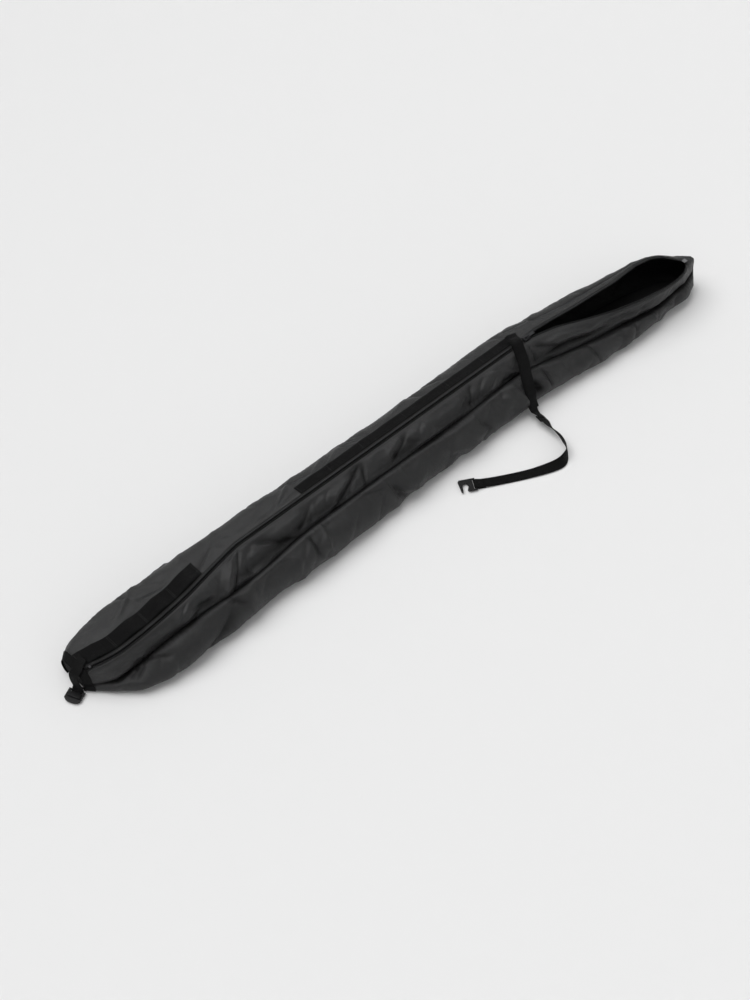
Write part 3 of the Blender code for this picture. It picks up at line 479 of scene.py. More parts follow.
# folds put in one by one: x and distance from the panel's upper edge at both ends, width, height
foldsNearTop = (
    (-0.525, 0.073, -0.460, 0.015, 0.0045, -0.0060), (-0.542, 0.062, -0.477, 0.012, 0.0110, 0.0070),
    (-0.630, 0.014, -0.655, 0.026, 0.0045, -0.0035), (-0.670, 0.026, -0.628, 0.020, 0.0080, 0.0040),
    (-0.612, 0.030, -0.572, 0.047, 0.0090, -0.0050), (-0.412, 0.018, -0.340, 0.068, 0.0090, -0.0070),
    (-0.275, 0.032, -0.322, 0.055, 0.0085, -0.0060), (-0.118, 0.018, -0.210, 0.056, 0.0095, -0.0090),
    (-0.145, 0.024, -0.215, 0.043, 0.0080, 0.0050), (-0.107, 0.020, -0.130, 0.062, 0.0060, -0.0060),
    (0.018, 0.026, -0.036, 0.048, 0.0080, -0.0070), (0.004, 0.020, -0.046, 0.033, 0.0080, 0.0045),
    (0.018, 0.032, 0.038, 0.050, 0.0065, -0.0045), (0.229, 0.014, 0.200, 0.054, 0.0060, -0.0050),
    (0.180, 0.040, 0.208, 0.029, 0.0055, -0.0035), (0.305, 0.052, 0.345, 0.062, 0.0095, -0.0060),
    (0.401, 0.018, 0.389, 0.060, 0.0040, -0.0040), (0.417, 0.020, 0.409, 0.060, 0.0045, -0.0040),
    (0.432, 0.024, 0.474, 0.047, 0.0055, -0.0070), (0.458, 0.047, 0.610, 0.046, 0.0065, -0.0085),
    (0.455, 0.029, 0.580, 0.031, 0.0110, 0.0045), (0.620, 0.020, 0.740, 0.026, 0.0080, -0.0035),
)
foldsNearSide = (
    (-0.745, 0.003, -0.715, 0.028, 0.0050, -0.0045), (-0.803, 0.012, -0.776, 0.003, 0.0040, -0.0040),
    (-0.793, 0.020, -0.768, 0.009, 0.0040, -0.0040), (-0.535, 0.005, -0.515, 0.036, 0.0050, -0.0050),
    (-0.665, 0.090, -0.550, 0.036, 0.0140, -0.0070), (-0.306, 0.012, -0.312, 0.054, 0.0055, -0.0060),
    (-0.271, 0.014, -0.287, 0.062, 0.0105, 0.0060), (-0.154, 0.004, -0.097, 0.025, 0.0045, -0.0035),
    (-0.086, 0.014, -0.080, 0.070, 0.0045, 0.0045), (-0.074, 0.028, -0.060, 0.075, 0.0090, -0.0065),
    (0.364, 0.022, 0.382, 0.060, 0.0120, -0.0150), (0.414, 0.012, 0.409, 0.056, 0.0040, -0.0055),
    (0.554, 0.004, 0.560, 0.060, 0.0065, -0.0040), (0.198, 0.018, 0.214, 0.060, 0.0100, -0.0045),
    (0.320, 0.012, 0.334, 0.080, 0.0100, 0.0055),
)
foldsFarTop = ((-0.280, 0.058, -0.215, 0.045, 0.0045, -0.0025), (-0.104, 0.078, -0.074, 0.050, 0.0045, -0.0030),
               (0.130, 0.074, 0.190, 0.052, 0.0050, -0.0030), (-0.690, 0.075, -0.640, 0.058, 0.0060, -0.0035),
               (-0.560, 0.020, -0.500, 0.046, 0.0050, -0.0030), (0.435, 0.024, 0.870, 0.024, 0.0030, -0.0032))

panelRows = int(round((cloth["last"] - cloth["first"]) / cloth["rowStep"]))
panelXs = np.linspace(cloth["first"], cloth["last"], panelRows)
near = makePanel(panelXs, nearTop(panelXs), cloth["tapeCover"], cloth["topCols"][0], 2, 1)
far = makePanel(panelXs, farTop(panelXs), cloth["tapeCover"], cloth["topCols"][1], 2, 1)
nearSide = makePanel(panelXs, sideWall(panelXs, -1), 0.0, cloth["sideCols"], 1, -1)
farSide = makePanel(panelXs, sideWall(panelXs, 1), 0.0, cloth["sideCols"], 1, 1)


def topRelief(panel, seed, folds, isNear, below, calmEnds):
    # height of a top panel and the part of it given by the listed folds: the far one is calm under its
    # webbing, the near one sinks in a long valley, and both rise at the zip and gather at the seam
    u, v = panel["u"], panel["v"]
    calm = fade(v, 0.010, 0.030) * fade(below, 0.002, 0.012) * calmEnds
    if not isNear:
        tailWeb = fade(u, -0.90, -0.85) * fade(-0.53 - u, 0.0, 0.03) * fade(0.056 - v, 0.0, 0.012)
        middleWeb = fade(u, -0.26, -0.23) * fade(0.43 - u, 0.0, 0.03) * fade(0.042 - v, 0.0, 0.012)
        calm = 0.6 * calm * (1 - 0.75 * np.maximum(tailWeb, middleWeb))
    height, creaseShade = clothRelief(u, v, cloth, seed, folds, calm)
    height = height * fade(v, 0.0085, 0.019)
    if isNear:
        valley = np.exp(-((v / panel["total"][:, None] - 0.74) / 0.17)**2) * fade(u, -0.70, -0.45)
        sink = 0.0070 * valley * fade(0.62 - u, 0, 0.10) * (0.65 + 0.5 * latticeNoise(u / 0.06, 0 * u, 5))
        height, creaseShade = height - sink, creaseShade - 0.9 * sink
    height += cloth["lipLift"] * (1 - fade(v, 0.011, 0.024))
    height += seamPucker(u, below, cloth, seed + 11) + 0.5 * seamPucker(u, v - 0.009, cloth, seed + 12)
    return height, creaseShade


def sideRelief(panel, seed, folds, below, calmEnds):
    # height of a side panel, calmer toward the floor and gathered at its seam
    u, v = panel["u"], panel["v"]
    calm = fade(v, 0.002, 0.016) * fade(below, 0.002, 0.022) * calmEnds
    height, creaseShade = clothRelief(u, v, cloth, seed, folds, calm)
    return height * (0.3 + 0.7 * fade(below, 0.0, 0.020)) + seamPucker(u, v, cloth, seed + 11), creaseShade


def shapePanel(panel, seed, placed, looseCount, looseHeights, isTop, isNear):
    # relief over the smooth panel, then the seam edge drawn in, and the panel's mask of painted shade for its
    # creases and seam edge
    u, v = panel["u"], panel["v"]
    below = panel["total"][:, None] - v          # distance to the panel's lower edge
    calmEnds = fade(u, -0.874, -0.83) * fade(0.93 - u, 0.004, 0.045)
    depth = float(np.median(panel["total"]))
    folds = (scatteredFolds(looseCount, -0.82, 0.86, depth, looseHeights, seed + 15), placed)
    if isTop:
        height, creaseShade = topRelief(panel, seed, folds, isNear, below, calmEnds)
    else:
        height, creaseShade = sideRelief(panel, seed, folds, below, calmEnds)
    away = below if isTop else v
    width = cloth["topSeamWidth" if isTop and isNear else "sideSeamWidth"]
    depthHere = cloth["nearPull" if isNear else "farPull"] * fade(u, -0.876, -0.80) * fade(0.93 - u, 0.0, 0.05)
    inward = np.array((0, 0.78, -0.62) if isNear else (0, -0.70, -0.71))
    # painted shade mask: darker in the listed creases and the near valley, and along the seam edge
    panel["creaseShade"] = np.maximum((-creaseShade / 0.011).clip(0, 1), 0.8 * np.exp(-(away / 0.0035)**2))
    raisePanel(panel, height, (depthHere * np.exp(-(away / width)**2))[..., None] * inward)


shapePanel(near, 21, foldsNearTop, 12, (0.0012, 0.0028), True, True)
shapePanel(far, 43, foldsFarTop, 16, (0.0010, 0.0024), True, False)
shapePanel(nearSide, 61, foldsNearSide, 14, (0.0015, 0.0036), False, True)
shapePanel(farSide, 83, (), 22, (0.0018, 0.0040), False, False)
print("panels shaped")

# surfaces


def nodeGroup(name, inputs, outputs):
    group = bpy.data.node_groups.new(name, "ShaderNodeTree")
    for label, kind, value in inputs:
        socket = group.interface.new_socket(label, in_out="INPUT", socket_type=kind)
        if value is not None:
            socket.default_value = value
    for label, kind in outputs:
        group.interface.new_socket(label, in_out="OUTPUT", socket_type=kind)
    return group, group.nodes.new("NodeGroupInput"), group.nodes.new("NodeGroupOutput")


def setInput(tree, socket, value):
    # a plain value is stored, another node's output is linked
    if isinstance(value, bpy.types.NodeSocket):
        tree.links.new(value, socket)
    else:
        socket.default_value = value


def addNode(tree, kind, settings=None, inputs=None):
    node = tree.nodes.new(kind)
    for key, value in (settings or {}).items():
        setattr(node, key, value)
    for key, value in (inputs or {}).items():
        setInput(tree, node.inputs[key], value)
    return node


def addMath(tree, operation, *values):
    return addNode(tree, "ShaderNodeMath", {"operation": operation}, dict(enumerate(values))).outputs[0]


def scaled(tree, colour, factor):
    # colour = colour * factor
    return addNode(tree, "ShaderNodeVectorMath", {"operation": "SCALE"},
                   {0: colour, "Scale": factor}).outputs[0]


def plainWeave():
    # height = |sin| of the threads' own phase, over or under by the parity of the crossing
    group, start, end = nodeGroup("plainWeave", [("Vector", "NodeSocketVector", None),
                                                 ("Thread", "NodeSocketFloat", 0.0005),
                                                 ("Wobble", "NodeSocketFloat", 0.15)],
                                  [("Height", "NodeSocketFloat")])
    vector, threadWidth = start.outputs["Vector"], start.outputs["Thread"]
    noise = addNode(group, "ShaderNodeTexNoise", inputs={"Vector": vector, "Scale": 900.0, "Detail": 1.0})
    split = addNode(group, "ShaderNodeSeparateXYZ", inputs={0: vector})
    centred = addMath(group, "SUBTRACT", noise.outputs["Fac"], 0.5)
    shift = addMath(group, "MULTIPLY", centred, start.outputs["Wobble"])
    a, b = (addMath(group, "ADD", addMath(group, "DIVIDE", split.outputs[way], threadWidth), shift)
            for way in "XY")
    crossing = addMath(group, "ADD", addMath(group, "FLOOR", a), addMath(group, "FLOOR", b))
    parity = addMath(group, "MODULO", addMath(group, "ABSOLUTE", crossing), 2.0)
    angles = [addMath(group, "MULTIPLY", phase, math.pi) for phase in (a, b)]
    over, under = (addMath(group, "ABSOLUTE", addMath(group, "SINE", angle)) for angle in angles)
    first = addMath(group, "MULTIPLY", over, addMath(group, "SUBTRACT", 1.0, parity))
    second = addMath(group, "MULTIPLY", under, parity)
    group.links.new(addMath(group, "ADD", first, second), end.inputs["Height"])
    return group


def wornTone():
    # tone = 1 + contrast * (large noise + 0.5 small noise - mean); dust = small noise past a threshold,
    # times the large noise
    group, start, end = nodeGroup("wornTone", [("Vector", "NodeSocketVector", None),
                                               ("Scale", "NodeSocketFloat", 14.0),
                                               ("Contrast", "NodeSocketFloat", 0.3),
                                               ("Dust", "NodeSocketFloat", 0.5)],
                                  [("Tone", "NodeSocketFloat"), ("Dust", "NodeSocketFloat")])
    vector, scale = start.outputs["Vector"], start.outputs["Scale"]
    large = addNode(group, "ShaderNodeTexNoise",
                    inputs={"Vector": vector, "Scale": scale, "Detail": 4.0, "Roughness": 0.6}).outputs["Fac"]
    small = addNode(group, "ShaderNodeTexNoise", inputs={
        "Vector": vector, "Scale": addMath(group, "MULTIPLY", scale, 9.0), "Detail": 3.0,
        "Roughness": 0.65}).outputs["Fac"]
    mixed = addMath(group, "ADD", large, addMath(group, "MULTIPLY", small, 0.5))
    change = addMath(group, "MULTIPLY", addMath(group, "SUBTRACT", mixed, 0.75), start.outputs["Contrast"])
    group.links.new(addMath(group, "ADD", 1.0, change), end.inputs["Tone"])
    dust = addNode(group, "ShaderNodeMapRange", {"interpolation_type": "SMOOTHSTEP"},
                   {"Value": small, "From Min": 0.50, "From Max": 0.78}).outputs["Result"]
    dusty = addMath(group, "MULTIPLY", addMath(group, "MULTIPLY", dust, large), start.outputs["Dust"])
    group.links.new(dusty, end.inputs["Dust"])
    return group


weaveGroup, wornGroup = plainWeave(), wornTone()


def surface(name, colour, roughness, metallic=0.0):
    material = bpy.data.materials.new(name)
    material.use_nodes = True
    shader = material.node_tree.nodes["Principled BSDF"]
    shader.inputs["Base Color"].default_value = (*colour, 1)
    shader.inputs["Roughness"].default_value = roughness
    shader.inputs["Metallic"].default_value = metallic
    return material, material.node_tree, shader


def wornColour(tree, shader, place, values):
    # colour = base * tone, turned toward dust colour by the dust mask; roughness falls as the tone rises
    worn = addNode(tree, "ShaderNodeGroup", {"node_tree": wornGroup},
                   {"Vector": place, "Scale": values["scale"], "Contrast": values["contrast"],
                    "Dust": values["dust"]})
    tone = worn.outputs["Tone"]
    mix = addNode(tree, "ShaderNodeMix", {"data_type": "RGBA"},
                  {0: worn.outputs["Dust"], 6: scaled(tree, values["colour"], tone), 7: (*values["dustColour"], 1)})
    change = addMath(tree, "MULTIPLY", addMath(tree, "SUBTRACT", tone, 1.0), -0.35)
    tree.links.new(addMath(tree, "ADD", values["roughness"], change), shader.inputs["Roughness"])
    tree.links.new(mix.outputs[2], shader.inputs["Base Color"])
    return mix.outputs[2]


def addBump(tree, shader, height, strength, distance):
    # normal = surface normal tilted by the slope of the height
    bump = addNode(tree, "ShaderNodeBump",
                   inputs={"Height": height, "Strength": strength, "Distance": distance})
    tree.links.new(bump.outputs[0], shader.inputs["Normal"])


def wovenSurface(name, values, mapped=True):
    # normal = bump of the weave height plus fine noise; colour as in wornColour, with painted shade in the gaps
    # between threads, and colour and specular both scaled by 1 - strength * the mesh's own mask of painted shade in
    # its creases and along its seams
    material, tree, shader = surface(name, values["colour"], values["roughness"])
    place = addNode(tree, "ShaderNodeTexCoord").outputs["Object"]
    uv = addNode(tree, "ShaderNodeUVMap", {"uv_map": "cloth"}).outputs["UV"] if mapped else place
    colour = wornColour(tree, shader, place, values)
    weave = addNode(tree, "ShaderNodeGroup", {"node_tree": weaveGroup},
                    {"Vector": uv, "Thread": values["thread"], "Wobble": values["wobble"]}).outputs["Height"]
    # painted shade: the weave's low parts between the threads are darkened and its thread tops lightened
    dark = values["gapShade"]
    gaps = addMath(tree, "ADD", 1 - dark, addMath(tree, "MULTIPLY", weave, 1.5 * dark))
    colour = scaled(tree, colour, gaps)
    fine = addNode(tree, "ShaderNodeTexNoise",
                   inputs={"Vector": place, "Scale": values["fibre"], "Detail": 3.0})
    height = addMath(tree, "ADD", weave, addMath(tree, "MULTIPLY", fine.outputs["Fac"], 0.8))
    addBump(tree, shader, height, values["bump"], values["thread"])
    shader.inputs["Sheen Weight"].default_value = values["sheen"]
    shader.inputs["Sheen Roughness"].default_value = 0.45
    shader.inputs["Specular IOR Level"].default_value = values["specular"]
    # painted shade: the mesh's crease and seam mask darkens the colour and the specular
    if values.get("creaseShade"):
        mask = addNode(tree, "ShaderNodeAttribute", {"attribute_name": "creaseShade"}).outputs["Fac"]
        keep = addMath(tree, "SUBTRACT", 1.0, addMath(tree, "MULTIPLY", mask, values["creaseShade"]))
        colour = scaled(tree, colour, keep)
        tree.links.new(addMath(tree, "MULTIPLY", keep, values["specular"]), shader.inputs["Specular IOR Level"])
    tree.links.new(colour, shader.inputs["Base Color"])
    return material


def hardSurface(name, values):
    # colour as in wornColour; normal = bump of a fine noise at the stated scale
    material, tree, shader = surface(name, values["colour"], values["roughness"], values["metallic"])
    place = addNode(tree, "ShaderNodeTexCoord").outputs["Object"]
    wornColour(tree, shader, place, values)
    grain = addNode(tree, "ShaderNodeTexNoise", inputs={"Vector": place, "Scale": values["grain"], "Detail": 2.0})
    shader.inputs["Specular IOR Level"].default_value = values["specular"]
    addBump(tree, shader, grain.outputs["Fac"], values["bump"], 0.0004)
    return material


# the shell's last value sets the strength of its painted shade in creases and along seams
finishes = {
    # each woven finish's gap value is the strength of the painted shade between its threads
    "shell": {"colour": (0.0084, 0.0084, 0.0088), "roughness": 0.43, "scale": 12.0, "contrast": 0.55, "dust": 0.22,
              "dustColour": (0.036, 0.0352, 0.0344), "thread": 0.00075, "wobble": 0.25, "gapShade": 0.28,
              "fibre": 2600.0, "bump": 0.28, "sheen": 0.03, "specular": 0.43, "creaseShade": 0.72},
    "webbing": {"colour": (0.0030, 0.0030, 0.0032), "roughness": 0.76, "scale": 26.0, "contrast": 0.35, "dust": 0.16,
                "dustColour": (0.022, 0.021, 0.020), "thread": 0.0013, "wobble": 0.12, "gapShade": 0.45,
                "fibre": 3000.0, "bump": 0.60, "sheen": 0.02, "specular": 0.12},
    "tape": {"colour": (0.0035, 0.0035, 0.0038), "roughness": 0.76, "scale": 40.0, "contrast": 0.30, "dust": 0.16,
             "dustColour": (0.020, 0.020, 0.019), "thread": 0.0006, "wobble": 0.12, "gapShade": 0.35,
             "fibre": 3200.0, "bump": 0.45, "sheen": 0.02, "specular": 0.18},
    "coil": {"colour": (0.0060, 0.0060, 0.0064), "roughness": 0.42, "metallic": 0.0, "scale": 60.0, "contrast": 0.25,
             "dust": 0.12, "dustColour": (0.030, 0.029, 0.028), "grain": 2500.0, "bump": 0.10, "specular": 0.5},
    "plastic": {"colour": (0.0046, 0.0046, 0.0050), "roughness": 0.52, "metallic": 0.0, "scale": 45.0,
                "contrast": 0.30, "dust": 0.15, "dustColour": (0.032, 0.031, 0.030), "grain": 2200.0,
                "bump": 0.18, "specular": 0.26},
    "metal": {"colour": (0.035, 0.035, 0.037), "roughness": 0.42, "metallic": 0.7, "scale": 70.0, "contrast": 0.30,
              "dust": 0.12, "dustColour": (0.05, 0.049, 0.048), "grain": 1800.0, "bump": 0.10, "specular": 0.5},
    "thread": {"colour": (0.0034, 0.0034, 0.0036), "roughness": 0.75, "metallic": 0.0, "scale": 90.0,
               "contrast": 0.30, "dust": 0.16, "dustColour": (0.014, 0.014, 0.013), "grain": 4000.0,
               "bump": 0.30, "specular": 0.5},
    "tab": {"colour": (0.15, 0.15, 0.155), "roughness": 0.62, "scale": 60.0, "contrast": 0.25, "dust": 0.15,
            "dustColour": (0.16, 0.155, 0.15), "thread": 0.0006, "wobble": 0.15, "gapShade": 0.20,
            "fibre": 2600.0, "bump": 0.35, "sheen": 0.02, "specular": 0.30},
    "inside": {"colour": (0.0040, 0.0040, 0.0042), "roughness": 0.70, "scale": 12.0, "contrast": 0.40, "dust": 0.10,
               "dustColour": (0.016, 0.016, 0.015), "thread": 0.00075, "wobble": 0.25, "gapShade": 0.25,
               "fibre": 2600.0, "bump": 0.25, "sheen": 0.0, "specular": 0.20},
}
shellFabric = wovenSurface("shellFabric", finishes["shell"])
shellInside = wovenSurface("shellInside", finishes["inside"])
webbing = wovenSurface("webbing", finishes["webbing"])
zipTape = wovenSurface("zipTape", finishes["tape"])
zipCoil = hardSurface("zipCoil", finishes["coil"])
blackPlastic = hardSurface("blackPlastic", finishes["plastic"])
blackMetal = hardSurface("blackMetal", finishes["metal"])
thread = hardSurface("thread", finishes["thread"])
greyTab = wovenSurface("greyTab", finishes["tab"], mapped=False)
print("surfaces made")

# shell panels


for node, panel in (("panel_top_near", near), ("panel_top_far", far), ("gusset_near", nearSide),
                    ("gusset_far", farSide)):
    piece = addSheet(node + "_cloth", panel["grid"], panel["axis"], panel["sign"], shellFabric, cloth["thickness"],
                     node, uv=np.stack([panel["u"], panel["v"]], axis=2), lining=shellInside)
    # the panel's painted shade mask for creases and seam edges, stored on its points
    mask = piece.data.attributes.new("creaseShade", "FLOAT", "POINT")
    mask.data.foreach_set("value", panel["creaseShade"].astype(np.float32).ravel())


def keepNode(name, material, width=0.0, segments=2):
    # the CAD shape stays, with its finish and softened edges
    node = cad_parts[name]
    node.data.materials.clear()
    node.data.materials.append(material)
    if width:
        soft = node.modifiers.new("soft edges", "BEVEL")
        soft.width = width
        soft.segments = segments
        soft.limit_method = "ANGLE"
        soft.angle_limit = math.radians(32)
    return node


base = {"first": -0.8755, "last": 0.9262, "rows": 240, "cols": 14, "inset": 0.0004, "top": 0.0018, "thick": 0.0016}
baseXs = np.linspace(base["first"], base["last"], base["rows"])
baseNear = smoothTable(sections, 1, baseXs) + base["inset"]
baseFar = smoothTable(sections, 10, baseXs) - base["inset"]
baseY = baseNear[:, None] + (baseFar - baseNear)[:, None] * np.linspace(0, 1, base["cols"])
baseGrid = withX(baseXs, np.stack([baseY, np.full(baseY.shape, base["top"])], axis=2))
addSheet("panel_base_cloth", baseGrid, 2, 1, shellInside, base["thick"], "panel_base", lining=shellFabric)

ends = {"rows": 96, "cols": 25, "thick": 0.0008, "lift": 0.0008,
        "nose": {"x": 0.9258, "bulge": 0.0062, "reach": 0.0075},
        "tail": {"x": -0.8772, "bulge": -0.0016, "reach": 0.0},
        "cover": {"first": 0.8975, "last": 0.9266, "under": 0.0120, "lift": 0.0011, "rows": 28, "cols": 12},
        "binding": {"first": -0.8812, "last": -0.8664, "lift": 0.0020, "thick": 0.0013, "rows": 10},
        "strip": {"half": 0.085, "top": 0.24, "foot": 0.97, "lift": 0.0010, "thick": 0.0009}}


def halfOutline(x, side, rows):
    # one half of the section at x, from the zip over the top and down the side to the floor
    xs = np.full(1, x)
    top = nearTop(xs) if side < 0 else farTop(xs)
    curve = np.concatenate([top, sideWall(xs, side)[:, 1:]], axis=1)
    return alongRows(curve, np.linspace(0, 1, rows)[None] * rowLength(curve)[:, None])[0]


def liftedOutline(outline, side, lift):
    # half outline moved straight out of the section, kept off the floor
    slope = np.gradient(outline, axis=0)
    way = side * np.stack([-slope[:, 1], slope[:, 0]], 1)
    moved = outline + lift * way / np.linalg.norm(way, axis=1, keepdims=True)
    return np.maximum(moved, [-1.0, 0.0006])


def endGrid(values, firstCol=0.0, lastCol=1.0, extra=0.0):
    # sheet across the end of the bag: y and z run from the near outline to the far one, and x swells
    # by the bulge times the sine of the way across, less at the zip and at the floor
    rows = ends["rows"]
    nearHalf, farHalf = halfOutline(values["x"], -1, rows), halfOutline(values["x"], 1, rows)
    s = np.linspace(firstCol, lastCol, ends["cols"])
    across = (1 - np.cos(math.pi * s)) / 2
    full = np.sqrt(np.sin(math.pi * np.linspace(0, 1, rows)).clip(0, 1))
    pairs = nearHalf[:, None] + (farHalf - nearHalf)[:, None] * across[None, :, None]
    x = values["x"] + (values["bulge"] * np.sin(math.pi * s)[None] + extra) * full[:, None]
    grid = np.concatenate([x[..., None], pairs], axis=2)
    if values["reach"]:
        flanges = []
        for side in (-1, 1):
            for back in (0.4, 1.0):
                at = values["x"] - back * values["reach"]
                outline = liftedOutline(halfOutline(at, side, rows), side, ends["lift"])
                flanges.append(np.concatenate([np.full((rows, 1), at), outline], axis=1)[:, None])
        grid = np.concatenate([flanges[1], flanges[0], grid, flanges[2], flanges[3]], axis=1)
    return grid


noseGrid, tailGrid = endGrid(ends["nose"]), endGrid(ends["tail"])
addSheet("nose_end_cloth", noseGrid, 0, 1, shellFabric, ends["thick"], uv=noseGrid[..., 1:])
addSheet("tail_end_cloth", tailGrid, 0, -1, webbing, ends["thick"], "tail_end_panel", uv=tailGrid[..., 1:])
strip, cover, binding = ends["strip"], ends["cover"], ends["binding"]
stripGrid = endGrid({**ends["nose"], "reach": 0.0}, 0.5 - strip["half"], 0.5 + strip["half"], strip["lift"])
stripGrid = stripGrid[int(strip["top"] * ends["rows"]):int(strip["foot"] * ends["rows"])]
addSheet("nose_binding_band", stripGrid, 0, 1, webbing, strip["thick"], "nose_binding",
         stripGrid[..., 1:])
coverXs = np.linspace(cover["first"], cover["last"], cover["rows"])
coverV = np.tile(np.linspace(0, cover["under"], cover["cols"]), (cover["rows"], 1))
coverGrid = withX(coverXs, np.concatenate([alongRows(nearTop(coverXs), coverV)[:, ::-1],
                                           alongRows(farTop(coverXs), coverV)], axis=1))
coverUp = gridNormals(coverGrid)
coverGrid = coverGrid + cover["lift"] * coverUp * np.sign(coverUp[cover["rows"] // 2, cover["cols"], 2])
addSheet("nose_cover_cloth", coverGrid, 2, 1, shellFabric, ends["thick"])
bindingXs = np.linspace(binding["first"], binding["last"], binding["rows"])
bindingRows = []
for x in bindingXs:
    halves = [liftedOutline(halfOutline(x, side, ends["rows"]), side, binding["lift"]) for side in (-1, 1)]
    bindingRows.append(np.concatenate([halves[0][:0:-1], halves[1][1:]]))
addSheet("tail_binding_band", withX(bindingXs, np.array(bindingRows)), 2, 1, webbing, binding["thick"],
         "tail_binding")
print("shell made")

# zip

zipLook = {"tapeVisible": 0.0100, "tapeBare": 0.0042, "tapeThick": 0.0008, "tapeStart": -0.8755,
           "tapeEnd": 0.905, "tapeRows": 640, "tapeCols": 6, "pitch": 0.0016, "wire": 0.00036,
           "turnSamples": 10, "rowStart": -0.853, "rowEnd": 0.885,
           "coilMiddle": 0.0017, "coilHalf": 0.00125, "coilHigh": 0.0010,
           "coilLift": 0.0015}


def tapeFrame(x, side):
    # lip point with the unit way into the tape and the unit way up, in the section plane
    curve = nearTop(x, 120) if side < 0 else farTop(x, 120)
    pair = alongRows(curve, np.tile([0.0, 0.004], (len(x), 1)))
    way = pair[:, 1] - pair[:, 0]
    way /= np.linalg.norm(way, axis=1, keepdims=True)
    up = np.stack([-way[:, 1], way[:, 0]], 1) * np.sign(way[:, :1])
    return pair[:, 0], way, up


def makeTape(name, side, node):
    # tape under the fabric's edge, bare near the zip and faced with the fabric beyond it
    xs = np.linspace(zipLook["tapeStart"], zipLook["tapeEnd"], zipLook["tapeRows"])
    v = np.tile(np.linspace(0, zipLook["tapeVisible"], zipLook["tapeCols"]), (len(xs), 1))
    grid = withX(xs, alongRows(nearTop(xs) if side < 0 else farTop(xs), v))
    uv = np.stack([grid[..., 0], v], axis=2)
    piece = addSheet(name, grid, 2, 1, zipTape, zipLook["tapeThick"], node, uv)
    piece.data.materials.append(shellFabric)
    covered = (v[1:, 1:] + v[1:, :-1]) / 2 > zipLook["tapeBare"]
    piece.data.polygons.foreach_set("material_index", covered.ravel().astype(np.int32))


def makeCoil(name, side, node):
    # one helix the length of the tape, its turns reaching past the tape's edge
    turns = (zipLook["rowEnd"] - zipLook["rowStart"]) / zipLook["pitch"]
    count = int(turns * zipLook["turnSamples"])
    phase = np.linspace(0, 2 * math.pi * turns, count) + (math.pi if side > 0 else 0)
    x = np.linspace(zipLook["rowStart"], zipLook["rowEnd"], count)
    foot, way, up = tapeFrame(x, side)
    c, s = np.cos(phase)[:, None], np.sin(phase)[:, None]
    radial = zipLook["coilHalf"] * c * way + zipLook["coilHigh"] * s * up
    core = foot + zipLook["coilMiddle"] * way + zipLook["coilLift"] * up
    path = np.concatenate([x[:, None], core + radial], axis=1)
    outward = np.concatenate([np.zeros((count, 1)), radial], axis=1)
    outward /= np.linalg.norm(outward, axis=1, keepdims=True)
    turn = np.linspace(0, 2 * math.pi, 5)[:-1]
    profile = np.stack([np.cos(turn), np.sin(turn)], 1) * zipLook["wire"]
    ring = sweepProfile(path, outward, profile)
    piece = addRing(name, ring, np.zeros(ring.shape[:2] + (2,)), zipCoil)
    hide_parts(node)


makeTape("zip_tape_near_cloth", -1, "zip_tape_near")
makeTape("zip_tape_far_cloth", 1, "zip_tape_far")
makeCoil("zip_coil_near", -1, "zip_row_near")
makeCoil("zip_coil_far", 1, "zip_row_far")
keepNode("zip_slider", blackMetal, 0.00035)
keepNode("zip_puller", blackMetal, 0.00045, 3)
for name in ("zip_stop_near", "zip_stop_far", "zip_stop_tail"):
    keepNode(name, blackMetal, 0.0003)
keepNode("zip_end_tab", greyTab, 0.0005)
print("zip made")

# webbing on the bag

ladder = {"width": 0.038, "thick": 0.0014, "start": 0.0092, "first": -0.866, "last": -0.556,
          "tacks": (-0.862, -0.795, -0.715, -0.635, -0.559), "slack": 0.0042, "loopShift": 0.0005}
middleBand = {"width": 0.025, "thick": 0.0014, "start": 0.0088, "first": -0.262, "last": 0.402,
              "tacks": (-0.170, -0.075, 0.055, 0.190, 0.300)}
clothGap = 0.0003


def slackBetween(x, tacks, height):
    # sine squared hump between each two tacks
    lift = np.zeros_like(x)
    for first, last in zip(tacks, tacks[1:]):
        inside = (x >= first) & (x <= last)
        lift = np.where(inside, height * np.sin(math.pi * (x - first) / (last - first))**2, lift)
    return lift


ladderXs = np.linspace(ladder["first"], ladder["last"], 220)
drapedBand("ladder_webbing_base_band", "ladder_webbing_base", far, ladderXs, ladder["start"], ladder, clothGap,
           17)
loopLift = clothGap * 2 + ladder["thick"] + slackBetween(ladderXs, ladder["tacks"], ladder["slack"])
drapedBand("ladder_webbing_loop_band", "ladder_webbing_loops", far, ladderXs,
           ladder["start"] + ladder["loopShift"], ladder, loopLift, 17)
middleXs = np.linspace(middleBand["first"], middleBand["last"], 320)
drapedBand("mid_webbing_band", "mid_webbing", far, middleXs, middleBand["start"], middleBand, clothGap, 13)
print("webbing on the bag made")

# free strap and its fittings

